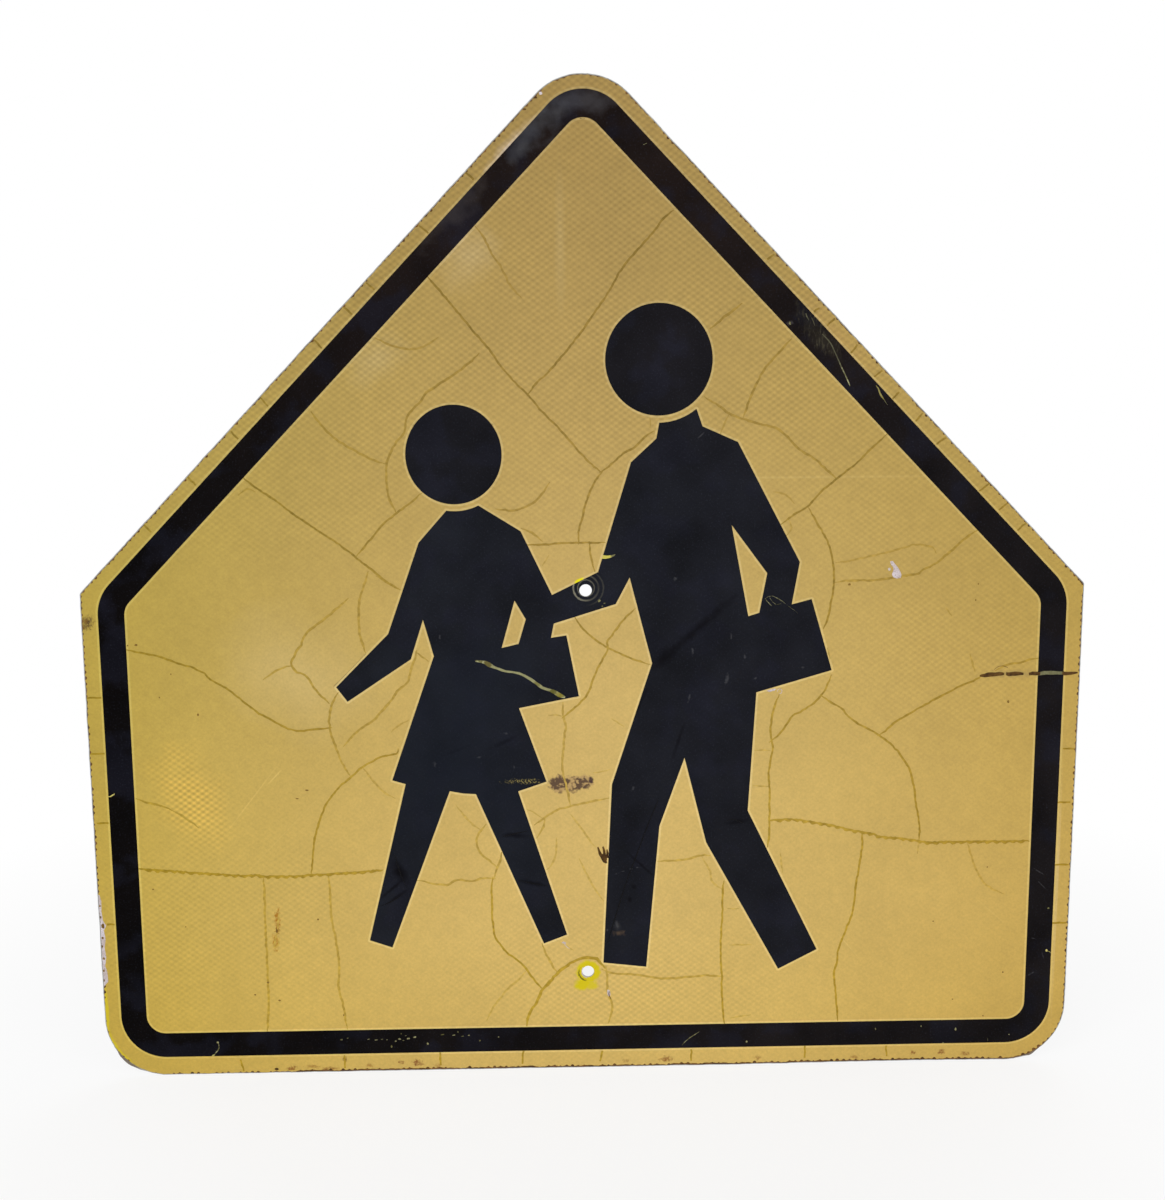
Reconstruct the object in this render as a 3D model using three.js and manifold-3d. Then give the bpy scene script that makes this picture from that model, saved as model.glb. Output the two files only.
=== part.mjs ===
// Pentagon school crossing sign: an adult and a child walking hand in hand, in black on a yellow ground.
// Millimetres, +Z up. The front faces -Y and the bare back lies on the plane y = 0.
// The origin is on the back face, on the centre line, midway between the two bolt holes.
import * as THREE from "three";
import { mergeVertices } from "three/addons/utils/BufferGeometryUtils.js";
import Module from "manifold-3d";

const wasm = await Module();
wasm.setup();

// The blank: one pentagon of sheet, 30 in wide and 30 in high, with rounded foot corners and peak
const signWidth = 762;
const signHeight = 762;
const shoulderHeight = 387;
const cornerRadius = 47.6;
const leastRadius = 3;
const blankThickness = 2.03;

// Two bolt holes on the centre line
const boltHoleDiameter = 9.5;
const boltHoleSpacing = 304.8;
const lowerHoleHeight = 80.8;

// The reflective sheeting: a beaded base sheet under a tinted face film, trimmed just inside the metal
const sheetingSetback = 0.8;
const baseSheetThickness = 0.25;
const faceFilmThickness = 0.13;

// The black legend film, laid on the face film a little above the sign's own centre
const legendThickness = 0.1;
const legendLift = 2.2;
const borderInset = 13;
const borderWidth = 19.9;

// The two figures: their width runs from the child's free hand to the adult's bag,
// and their height from the adult's lower foot to the adult's collar
const figuresWidth = 380;
const figuresBase = 81;
const collarToPeak = 241;
const neckGap = 5.2;
const adultHeadWidth = 79.8;
const adultHeadHeight = 82.6;
const childHeadWidth = 71.8;
const childHeadHeight = 74.2;

// How far a cutting shape runs past the faces that it cuts
const overrun = 2;

// How many straight steps draw a quarter turn, a head's full turn and a bolt hole's full turn
const quarterSteps = 18;
const headSteps = 88;
const holeSteps = 40;

// Planes of y, from the back face forward, that the layers share
const backFace = 0;
const blankFace = backFace - blankThickness;
const baseSheetFace = blankFace - baseSheetThickness;
const sheetingFace = baseSheetFace - faceFilmThickness;
const legendFace = sheetingFace - legendThickness;

const originHeight = lowerHoleHeight + boltHoleSpacing / 2;
const halfWidth = signWidth / 2;
const figuresHeight = signHeight - collarToPeak - figuresBase;

// The heads, whose centres are shares of the figures' width and height
const heads = {
  adult: { centreShare: [0.146, 1.0845], width: adultHeadWidth, height: adultHeadHeight },
  child: { centreShare: [-0.2575, 0.9275], width: childHeadWidth, height: childHeadHeight },
};

// The joined silhouette, as shares of the figures' width and height, clockwise from the child's neck.
// Each neck runs up to its head's centre, and is then trimmed to a hollow that follows the head.
const pairShares = [
  // Child's neck, shoulder, and the arm that the adult holds
  heads.child.centreShare,
  [-0.211, 0.841],
  [-0.128, 0.796],
  [-0.067, 0.685],
  [0.025, 0.724],
  // Adult's sleeve, shoulder, collar and far shoulder
  [0.033, 0.747],
  [0.091, 0.912],
  [0.141, 0.952],
  [0.147, 0.98],
  heads.adult.centreShare,
  [0.22, 1.001],
  [0.232, 0.972],
  [0.302, 0.945],
  // Adult's elbow, wrist and bag
  [0.428, 0.738],
  [0.413, 0.664],
  [0.453, 0.673],
  [0.496, 0.547],
  [0.344, 0.509],
  // Adult's trailing leg, up the inside to the crotch, and down the leading leg
  [0.329, 0.295],
  [0.476, 0.035],
  [0.396, -0.001],
  [0.244, 0.238],
  [0.199, 0.393],
  [0.148, 0.269],
  [0.121, 0.007],
  [0.032, 0.016],
  [0.051, 0.346],
  // Adult's hip, armpit and hand, then the underside of the child's arm
  [0.133, 0.563],
  [0.088, 0.714],
  [0.06, 0.668],
  [-0.064, 0.635],
  // Child's bag
  [-0.07, 0.61],
  [-0.039, 0.614],
  [-0.015, 0.506],
  [-0.136, 0.486],
  // Child's skirt and legs
  [-0.082, 0.353],
  [-0.14, 0.336],
  [-0.043, 0.07],
  [-0.091, 0.054],
  [-0.226, 0.332],
  [-0.252, 0.3335],
  [-0.279, 0.338],
  [-0.404, 0.051],
  [-0.45, 0.065],
  [-0.368, 0.352],
  [-0.395, 0.359],
  // Child's waist, armpit, free arm and shoulder
  [-0.305, 0.58],
  [-0.325, 0.644],
  [-0.351, 0.575],
  [-0.48, 0.501],
  [-0.502, 0.527],
  [-0.395, 0.62],
  [-0.33, 0.778],
  [-0.2745, 0.832],
];

// The two gaps that an arm closes off between the body and the bag
const childArmGapShares = [
  [-0.142, 0.676],
  [-0.12, 0.643],
  [-0.135, 0.6],
  [-0.169, 0.593],
];
const adultArmGapShares = [
  [0.291, 0.803],
  [0.363, 0.719],
  [0.348, 0.65],
  [0.326, 0.644],
];

const aluminium = new THREE.MeshStandardMaterial({ color: 0xa9aaa6, roughness: 0.5, metalness: 0.9 });
const beadedBase = new THREE.MeshStandardMaterial({ color: 0x8f7a3c, roughness: 0.7, metalness: 0.1 });
const yellowFilm = new THREE.MeshStandardMaterial({ color: 0xc6a658, roughness: 0.42, metalness: 0 });
const blackFilm = new THREE.MeshStandardMaterial({ color: 0x16181f, roughness: 0.4, metalness: 0 });

// Heights are given above the sign's lower edge. This sets them in the part's frame.
function fromLowerEdge(x, height) {
  return new THREE.Vector2(x, height - originHeight);
}

function inFigures([acrossShare, upShare]) {
  return fromLowerEdge(acrossShare * figuresWidth, figuresBase + upShare * figuresHeight);
}

// The angle above the horizontal of the roof line, from a shoulder to where it runs into the peak's arc
function roofAngle() {
  const rise = signHeight - cornerRadius - shoulderHeight;
  return Math.atan2(rise, halfWidth) + Math.asin(cornerRadius / Math.hypot(rise, halfWidth));
}

// The pentagon's sharp corners, clockwise from the left foot, moved in by an inset and up by a lift
function pentagonCorners(inset, lift) {
  const slope = roofAngle();
  const side = halfWidth - inset;
  const shoulder = shoulderHeight - inset * Math.tan((Math.PI / 2 - slope) / 2);
  const peak = shoulder + side * Math.tan(slope);
  return [
    fromLowerEdge(-side, inset + lift),
    fromLowerEdge(-side, shoulder + lift),
    fromLowerEdge(0, peak + lift),
    fromLowerEdge(side, shoulder + lift),
    fromLowerEdge(side, inset + lift),
  ];
}

// Rounds each corner of an outline with an arc that leaves both of its sides straight on.
function roundCorners(corners, radii) {
  return corners.flatMap((corner, i) => {
    const before = corners.at(i - 1).clone().sub(corner).normalize();
    const after = corners[(i + 1) % corners.length].clone().sub(corner).normalize();
    const halfAngle = Math.acos(before.dot(after)) / 2;
    const toCentre = before.clone().add(after).normalize();
    const centre = corner.clone().addScaledVector(toCentre, radii[i] / Math.sin(halfAngle));
    const turn = Math.PI - 2 * halfAngle;
    // An even count of steps puts a point at the arc's middle, which is the top of the peak.
    const steps = 2 * Math.ceil((quarterSteps * turn) / Math.PI);
    const start = toCentre.clone().negate().rotateAround(new THREE.Vector2(), turn / 2);
    return Array.from({ length: steps + 1 }, (_, step) =>
      start
        .clone()
        .rotateAround(new THREE.Vector2(), (-turn * step) / steps)
        .multiplyScalar(radii[i])
        .add(centre),
    );
  });
}

// The sign's own outline: the peak and the two foot corners are rounded, and the shoulders are only eased.
function signOutline(inset) {
  const rounded = Math.max(cornerRadius - inset, leastRadius);
  return roundCorners(pentagonCorners(inset, 0), [rounded, leastRadius, rounded, leastRadius, rounded]);
}

// An edge of the border: all five corners have the radius that runs alongside the sign's rounded corners.
function borderOutline(inset) {
  const corners = pentagonCorners(inset, legendLift);
  const rounded = Math.max(cornerRadius - inset, leastRadius);
  return roundCorners(
    corners,
    corners.map(() => rounded),
  );
}

function ovalOutline(centre, width, height, steps) {
  return Array.from({ length: steps }, (_, step) => {
    const angle = (2 * Math.PI * step) / steps;
    return new THREE.Vector2((width / 2) * Math.cos(angle), (height / 2) * Math.sin(angle)).add(centre);
  });
}

// A flat sheet between two planes of y, cut to an outline of x and z
function sheet(outline, back, front) {
  const geometry = new THREE.ExtrudeGeometry(new THREE.Shape(outline), { depth: 1, bevelEnabled: false });
  const places = geometry.getAttribute("position");
  for (let i = 0; i < places.count; i += 1) {
    const y = places.getZ(i) > 0 ? front : back;
    places.setXYZ(i, places.getX(i), y, places.getY(i));
  }
  return geometry;
}

function toSolid(geometry) {
  const bare = new THREE.BufferGeometry().setAttribute("position", geometry.getAttribute("position"));
  const merged = mergeVertices(bare);
  return new wasm.Manifold(
    new wasm.Mesh({
      numProp: 3,
      vertProperties: merged.getAttribute("position").array,
      triVerts: new Uint32Array(merged.index.array),
    }),
  );
}

function toGeometry(solid) {
  const { vertProperties, triVerts } = solid.getMesh();
  const geometry = new THREE.BufferGeometry();
  geometry.setAttribute("position", new THREE.BufferAttribute(vertProperties, 3));
  geometry.setIndex(new THREE.BufferAttribute(triVerts, 1));
  const flatShaded = geometry.toNonIndexed();
  flatShaded.computeVertexNormals();
  return flatShaded;
}

// A cutter that runs past both faces of every layer
function cutter(outline) {
  return toSolid(sheet(outline, backFace + overrun, legendFace - overrun));
}

// The bolt holes are punched last, through the metal, the sheeting and the legend at once.
const boltHoles = [lowerHoleHeight, lowerHoleHeight + boltHoleSpacing].map((height) =>
  cutter(ovalOutline(fromLowerEdge(0, height), boltHoleDiameter, boltHoleDiameter, holeSteps)),
);

function piece(name, outline, back, front, material, cutters) {
  const solid = cutters.reduce((left, cut) => left.subtract(cut), toSolid(sheet(outline, back, front)));
  const mesh = new THREE.Mesh(toGeometry(solid), material);
  mesh.name = name;
  return mesh;
}

// A head's outline, or with a clearance the line that keeps that far outside it
function headOutline({ centreShare, width, height }, clearance) {
  const grown = 2 * clearance;
  return ovalOutline(inFigures(centreShare), width + grown, height + grown, headSteps);
}

const sheetingOutline = signOutline(sheetingSetback);
const insideBorder = cutter(borderOutline(borderInset + borderWidth));
const armGaps = [childArmGapShares, adultArmGapShares].map((shares) => cutter(shares.map(inFigures)));
const neckHollows = Object.values(heads).map((head) => cutter(headOutline(head, neckGap)));

const sign = new THREE.Group();
sign.add(
  piece("sign_blank", signOutline(0), backFace, blankFace, aluminium, boltHoles),
  piece("sheeting_base", sheetingOutline, blankFace, baseSheetFace, beadedBase, boltHoles),
  piece("sheeting_face", sheetingOutline, baseSheetFace, sheetingFace, yellowFilm, boltHoles),
  piece("border_band", borderOutline(borderInset), sheetingFace, legendFace, blackFilm, [insideBorder]),
  piece("walking_pair", pairShares.map(inFigures), sheetingFace, legendFace, blackFilm, [
    ...armGaps,
    ...neckHollows,
    ...boltHoles,
  ]),
  piece("adult_head", headOutline(heads.adult, 0), sheetingFace, legendFace, blackFilm, []),
  piece("child_head", headOutline(heads.child, 0), sheetingFace, legendFace, blackFilm, []),
);

export default sign;
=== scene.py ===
# School crossing sign: a pentagon of sheet metal, its cracked yellow sheeting and the black legend on it.
# Sizes are in millimetres, and heights are taken above the sign's lower edge.
import math
import random

import bpy
import numpy as np
from mathutils import Matrix, Vector
from mathutils.geometry import delaunay_2d_cdt
from mathutils.kdtree import KDTree


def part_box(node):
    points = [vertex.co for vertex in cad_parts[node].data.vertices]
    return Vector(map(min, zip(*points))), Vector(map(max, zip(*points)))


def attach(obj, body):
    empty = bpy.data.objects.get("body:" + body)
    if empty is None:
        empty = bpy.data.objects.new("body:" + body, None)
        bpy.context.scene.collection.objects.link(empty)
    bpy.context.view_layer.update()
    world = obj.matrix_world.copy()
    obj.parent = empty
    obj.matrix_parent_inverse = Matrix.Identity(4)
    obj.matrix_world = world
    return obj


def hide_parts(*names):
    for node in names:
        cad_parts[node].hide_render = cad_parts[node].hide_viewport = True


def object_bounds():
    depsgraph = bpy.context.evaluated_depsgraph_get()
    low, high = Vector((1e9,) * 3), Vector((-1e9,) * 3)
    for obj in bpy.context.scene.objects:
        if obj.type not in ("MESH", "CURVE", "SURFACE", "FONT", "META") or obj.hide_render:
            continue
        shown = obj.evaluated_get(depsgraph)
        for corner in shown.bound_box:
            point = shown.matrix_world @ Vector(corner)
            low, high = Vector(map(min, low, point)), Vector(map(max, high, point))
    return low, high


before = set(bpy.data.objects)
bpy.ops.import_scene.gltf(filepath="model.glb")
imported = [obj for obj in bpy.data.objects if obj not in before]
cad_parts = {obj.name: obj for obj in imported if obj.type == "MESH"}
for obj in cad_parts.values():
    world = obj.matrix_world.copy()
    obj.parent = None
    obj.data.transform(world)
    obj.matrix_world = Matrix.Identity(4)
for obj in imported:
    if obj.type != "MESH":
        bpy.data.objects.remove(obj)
cad_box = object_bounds()

# Stage: the floor, the light and the camera
# The sign stands on its lower edge on a pale floor. Large soft lamps light it from the front and above,
# and the camera looks at it from a little above its middle, as the photograph does.
MM = 0.001
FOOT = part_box("sign_blank")[0].z / MM
FLOOR_HALF = 9
STUDIO_WHITE = (1, 1, 1, 1)
WORLD_LIGHT = 0.42


def linear(red, green, blue):
    """A colour as it looks, in steps of 255, in the scale that shaders take."""
    shades = (((c / 255 + 0.055) / 1.055) ** 2.4 if c > 10 else c / 255 / 12.92 for c in (red, green, blue))
    return (*shades, 1)


def put(tree, kind, sockets=None, **settings):
    """Adds a node. A socket is given a value, or the output that feeds it."""
    made = tree.nodes.new("ShaderNode" + kind)
    for key, value in settings.items():
        setattr(made, key, value)
    for key, value in (sockets or {}).items():
        if isinstance(value, bpy.types.NodeSocket):
            tree.links.new(value, made.inputs[key])
        else:
            made.inputs[key].default_value = value
    return made


def reckon(operation, first, second=0.0, held=False):
    """One sum with two values, at least one of them a socket. Held keeps it between 0 and 1."""
    tree = next(value.id_data for value in (first, second) if isinstance(value, bpy.types.NodeSocket))
    return put(tree, "Math", {0: first, 1: second}, operation=operation, use_clamp=held).outputs[0]


def times(first, second, held=False):
    return reckon("MULTIPLY", first, second, held)


def larger(first, second):
    return reckon("MAXIMUM", first, second)


def spread(value, low, high, to_low=0.0, to_high=1.0):
    """The value between low and high, spread evenly from to_low to to_high."""
    return put(value.id_data, "MapRange", {"Value": value, "From Min": low, "From Max": high,
                                           "To Min": to_low, "To Max": to_high}).outputs[0]


def length_of(vector):
    return put(vector.id_data, "VectorMath", {0: vector}, operation="LENGTH").outputs["Value"]


def seen_directly(tree):
    """1 for the camera and for what shows in gloss or through glass, 0 for light on a matt surface."""
    ray = put(tree, "LightPath").outputs
    return larger(larger(ray["Is Camera Ray"], ray["Is Glossy Ray"]), ray["Is Transmission Ray"])


# How far from the sign's middle the glow starts to rise and is full, in metres, and its share before that
GLOW_RISES = 0.35
GLOW_FULL = 0.9
GLOW_NEAR = 0.8


def pale_floor():
    """White paper, which glows a little where it is seen, so that it reads as white and keeps its shadow."""
    finish = bpy.data.materials.new("pale_floor")
    finish.use_nodes = True
    tree = finish.node_tree
    tree.nodes.clear()
    from_sign = length_of(put(tree, "TexCoord").outputs["Object"])
    glow = times(spread(from_sign, GLOW_RISES, GLOW_FULL, GLOW_NEAR, 1.0), seen_directly(tree))
    paper = put(tree, "BsdfDiffuse", {"Color": linear(246, 246, 246)}).outputs[0]
    white = put(tree, "Emission", {"Color": STUDIO_WHITE, "Strength": 1.0}).outputs[0]
    both = put(tree, "MixShader", {0: glow, 1: paper, 2: white}).outputs[0]
    put(tree, "OutputMaterial", {"Surface": both})
    return finish


def add_object(name, data):
    """A new object in the scene."""
    made = bpy.data.objects.new(name, data)
    bpy.context.scene.collection.objects.link(made)
    return made


floor_mesh = bpy.data.meshes.new("floor")
floor_mesh.from_pydata([(x * FLOOR_HALF, y * FLOOR_HALF, FOOT * MM)
                        for x, y in ((-1, -1), (1, -1), (1, 1), (-1, 1))], [], [(0, 1, 2, 3)])
floor_mesh.materials.append(pale_floor())
add_object("floor", floor_mesh)

world = bpy.data.worlds.new("studio")
world.use_nodes = True
bpy.context.scene.world = world
sky = world.node_tree
sky.nodes.clear()
sky_strength = spread(seen_directly(sky), 0.0, 1.0, WORLD_LIGHT, 1.0)
sky_light = put(sky, "Background", {"Color": STUDIO_WHITE, "Strength": sky_strength})
put(sky, "OutputWorld", {"Surface": sky_light.outputs[0]})

# Square lamps that point at the middle of the sign: where each stands, in metres, and its watts
LAMP_SIZE = 2.4
MIDDLE_OF_SIGN = Vector((0, 0, 0.1))
LAMPS = {
    "key_lamp": ((-1.7, -3.0, 2.3), 62),
    "fill_lamp": ((2.0, -2.6, 1.3), 34),
    "back_lamp": ((1.2, 3.2, 2.4), 34),
}
for name, (stand, watts) in LAMPS.items():
    lamp = bpy.data.lights.new(name, "AREA")
    lamp.size = LAMP_SIZE
    lamp.energy = watts
    held = add_object(name, lamp)
    held.location = stand
    held.rotation_euler = (MIDDLE_OF_SIGN - Vector(stand)).to_track_quat("-Z", "Y").to_euler()
    held.visible_glossy = False

CAMERA_SPOT = Vector((-29.75, -1158.2, 336.05)) * MM
CAMERA_RIGHT = Vector((0.99967, -0.02480, -0.00688))
CAMERA_UP = Vector((0.01083, 0.16274, 0.98661))
CAMERA_LENS = 46.344
SENSOR_WIDTH = 36
NEAREST_SEEN = 0.05

camera = add_object("camera", bpy.data.cameras.new("camera"))
camera.data.lens = CAMERA_LENS
camera.data.sensor_width = SENSOR_WIDTH
camera.data.clip_start = NEAREST_SEEN
towards_eye = CAMERA_RIGHT.cross(CAMERA_UP).normalized()
upward = towards_eye.cross(CAMERA_RIGHT).normalized()
turn = Matrix((CAMERA_RIGHT.normalized(), upward, towards_eye)).transposed()
camera.matrix_world = Matrix.Translation(CAMERA_SPOT) @ turn.to_4x4()
bpy.context.scene.camera = camera
bpy.context.scene.view_settings.view_transform = "Standard"

# The blank
# A pentagon sheared and punched from 2 mm mill-rolled aluminium. Its cut edges are slightly broken, and
# years on a post have left it dull, streaked and stained, with a knocked foot corner.
HALF_WIDE = 381
EDGE_STEP = 2.5
EDGE_BREAK = 0.22
EDGE_SEED = 3
BLANK_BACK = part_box("sign_blank")[1].y / MM
BLANK_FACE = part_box("sign_blank")[0].y / MM


def sides(ring):
    """Each point of a closed ring with the next one."""
    return zip(ring, ring[1:] + ring[:1])


def neighbours(ring):
    """Each point of a closed ring between the one before and the one after."""
    return zip(ring[-1:] + ring[:-1], ring, ring[1:] + ring[:1])


def outlines(node):
    """The closed outlines of a flat piece's front, in x and height. The longest comes first."""
    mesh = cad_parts[node].data
    front = min(v.co.y for v in mesh.vertices)
    spot = {v.index: (round(v.co.x / MM, 4), round(v.co.z / MM - FOOT, 4)) for v in mesh.vertices
            if v.co.y < front + 1e-6}
    onward = {}
    for face in mesh.polygons:
        if all(i in spot for i in face.vertices):
            for a, b in sides([spot[i] for i in face.vertices]):
                if onward.get(b) and a in onward[b]:
                    onward[b].remove(a)
                else:
                    onward.setdefault(a, []).append(b)
    loops = []
    while any(onward.values()):
        start = next(a for a in onward if onward[a])
        loop = [start]
        while onward.get(loop[-1]):
            loop.append(onward[loop[-1]].pop())
            if loop[-1] == start:
                break
        loops.append([Vector(p) for p in loop[:-1]])
    return sorted(loops, key=lambda ring: -sum((a - b).length for a, b in zip(ring, ring[1:])))


def area(ring):
    """The area inside a ring of points, above zero if it runs anticlockwise."""
    return sum(a.x * b.y - b.x * a.y for a, b in sides(ring)) / 2


def anticlockwise(ring):
    return ring if area(ring) > 0 else ring[::-1]


def in_steps(ring, step):
    """The same ring with its long sides cut into steps, so that they can be worn."""
    finer = []
    for a, b in sides(ring):
        count = max(1, math.ceil((b - a).length / step))
        finer += [a.lerp(b, i / count) for i in range(count)]
    return finer


def moved_out(ring, distance):
    """The ring moved out by a distance, or in where it is below zero."""
    out = []
    for before, here, after in neighbours(ring):
        first = (here - before).normalized()
        second = (after - here).normalized()
        square = (first + second).normalized()
        lean = max(0.5, square.dot(first))
        out.append(here + Vector((square.y, -square.x)) * distance / lean)
    return out


# Knocks in the sheet's edge: where, how far the metal bulges out, and half the length that it takes
FOOT_KNOCKS = [((-366, 10), 2.1, 9.0), ((-371, 17), 0.7, 2.0), ((-356, 3), 0.8, 3.0), ((355, 5), 1.3, 4.5)]
WAVES_IN_THE_EDGE = [((250, 1), -0.9, 90), ((70, 686), 0.5, 9), ((88, 667), -0.4, 8), ((104, 652), 0.5, 8),
                     ((-381, 383), -0.4, 5)]


def knocked(ring, knocks, shiver):
    """The ring with some knocks, and with the small waves of a sheared and weathered edge."""
    waves = random.Random(EDGE_SEED)
    phases = [(waves.uniform(0, 6.28), waves.uniform(0.04, 0.3)) for _ in range(7)]
    worn = []
    far = 0.0
    for before, here, after in neighbours(ring):
        along = (after - before).normalized()
        far += (here - before).length
        out = shiver * sum(math.sin(p + far * rate) for p, rate in phases) / 3
        out += shiver * waves.uniform(-1.2, 1.2)
        for centre, bulge, half in knocks:
            out += bulge * math.exp(-(((here - Vector(centre)).length / half) ** 2))
        worn.append(here + Vector((along.y, -along.x)) * out)
    return worn


def fill(rings, extra=()):
    """Triangles over all the rings. Gives the points, the triangles, and the rings that hold each one."""
    spots = []
    faces = []
    for ring in rings:
        ring = anticlockwise(ring)
        faces.append(list(range(len(spots), len(spots) + len(ring))))
        spots += ring
    spots += extra
    made = delaunay_2d_cdt(spots, [], faces, 1, 1e-5, True)
    return made[0], made[2], made[5]


def new_piece(name, corners, faces, finishes, slot, node):
    """A piece from corners in x, y and height, which rides on the sign and has the given finishes. The slot
    is not used.
    """
    mesh = bpy.data.meshes.new(name)
    mesh.from_pydata([(x * MM, y * MM, (z + FOOT) * MM) for x, y, z in corners], [], faces)
    for finish in finishes:
        mesh.materials.append(finish)
    piece = add_object(name, mesh)
    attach(piece, "root")
    if node:
        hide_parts(node)
    return piece


def plate(outer, holes, back, front, ease):
    """Corners and faces of a flat plate whose edges, front and back, are broken by a small slope."""
    rings = [anticlockwise(outer)] + [anticlockwise(hole)[::-1] for hole in holes]
    flat = [moved_out(ring, -ease) for ring in rings]
    spots, faces, holders = fill(flat)
    kept = [face for face, held in zip(faces, holders) if set(held) == {0}]
    corners = [(p.x, front, p.y) for p in spots] + [(p.x, back, p.y) for p in spots]
    faces = kept + [[i + len(spots) for i in face[::-1]] for face in kept]
    found = {(round(p.x, 4), round(p.y, 4)): i for i, p in enumerate(spots)}
    for ring, inner in zip(rings, flat):
        first = [found[round(p.x, 4), round(p.y, 4)] for p in inner]
        last = [i + len(spots) for i in first]
        start = len(corners)
        corners += [(p.x, front + ease, p.y) for p in ring] + [(p.x, back - ease, p.y) for p in ring]
        near = list(range(start, start + len(ring)))
        far = list(range(start + len(ring), start + 2 * len(ring)))
        for one, other in ((first, near), (near, far), (far, last)):
            for i in range(len(ring)):
                j = (i + 1) % len(ring)
                faces.append([one[i], other[i], other[j], one[j]])
    return corners, faces


def new_finish(name):
    """An empty material. Gives it and a spot on the piece in millimetres: x, y and height."""
    finish = bpy.data.materials.new(name)
    finish.use_nodes = True
    tree = finish.node_tree
    tree.nodes.clear()
    coordinates = put(tree, "TexCoord").outputs["Object"]
    spot = put(tree, "VectorMath", {0: coordinates, 1: (1 / MM,) * 3, 2: (0, 0, -FOOT)},
               operation="MULTIPLY_ADD").outputs[0]
    return finish, spot


def plus(first, second):
    return reckon("ADD", first, second)


def axes(spot):
    """The spot's x, y and height, each by itself."""
    return put(spot.id_data, "SeparateXYZ", {0: spot}).outputs


def tint(share, under, over, how="MIX"):
    """One colour over another, at least one of the three a socket."""
    tree = next(value.id_data for value in (share, under, over) if isinstance(value, bpy.types.NodeSocket))
    return put(tree, "Mix", {0: share, 6: under, 7: over}, data_type="RGBA", blend_type=how).outputs[2]


def grain(spot, size, detail=3.0, stretch=(1, 1, 1)):
    """Noise whose grains are about size across, or longer along an axis that is stretched."""
    squeezed = put(spot.id_data, "VectorMath", {0: spot, 1: tuple(1 / (size * s) for s in stretch)},
                   operation="MULTIPLY").outputs[0]
    return put(spot.id_data, "TexNoise", {"Vector": squeezed, "Scale": 1.0, "Detail": detail}).outputs[0]


def patch(spot, centre, half, lean=0.0, ragged=0.0, size=3.0, soft=0.5):
    """1 inside an oval of that half width and height, falling to 0 at its edge, which noise can tear."""
    oval = {"Vector": spot, "Location": (centre[0], 0, centre[1]), "Rotation": (0, math.radians(-lean), 0),
            "Scale": (half[0], 1e5, half[1])}
    far = length_of(put(spot.id_data, "Mapping", oval, vector_type="TEXTURE").outputs[0])
    if ragged:
        far = plus(far, spread(grain(spot, size, 4.0), 0.25, 0.75, -ragged, ragged))
    return spread(far, 1.0, 1.0 - soft)


def band(spot, centre, radius, half_width, ragged, size=2.0):
    """1 on a ring round a centre, and 0 off it, with ragged edges."""
    tree = spot.id_data
    local = put(tree, "VectorMath", {0: spot, 1: (centre[0], 0, centre[1])}, operation="SUBTRACT").outputs[0]
    flat = put(tree, "VectorMath", {0: local, 1: (1, 0, 1)}, operation="MULTIPLY").outputs[0]
    off = reckon("ABSOLUTE", reckon("SUBTRACT", length_of(flat), radius))
    off = plus(off, spread(grain(spot, size), 0.3, 0.7, -ragged, ragged))
    return spread(off, half_width, half_width / 2)


def marked(colour, spot, marks, ragged, size, soft):
    """The colour with marks over it: middle, half width and height, lean, strength and shade of each."""
    for centre, half, lean, strength, shade in marks:
        mask = patch(spot, centre, half, lean, ragged, size, soft)
        colour = tint(times(mask, strength), colour, linear(*shade))
    return colour


def painted(finish, colour, roughness, bump, strength, metal=0.0, gloss=0.5):
    """Joins a colour, a roughness and a height to one surface shader, and gives the finished material."""
    tree = finish.node_tree
    raised = put(tree, "Bump", {"Height": bump, "Strength": strength, "Distance": 0.1 * MM}).outputs[0]
    shader = put(tree, "BsdfPrincipled", {"Base Color": colour, "Roughness": roughness, "Metallic": metal,
                                          "Specular IOR Level": gloss, "Normal": raised})
    put(tree, "OutputMaterial", {"Surface": shader.outputs[0]})
    return finish


blank_outline, *bolt_holes = outlines("sign_blank")
LOWER_HOLE, UPPER_HOLE = sorted((sum(ring, Vector((0, 0))) / len(ring)).y for ring in bolt_holes)


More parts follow.
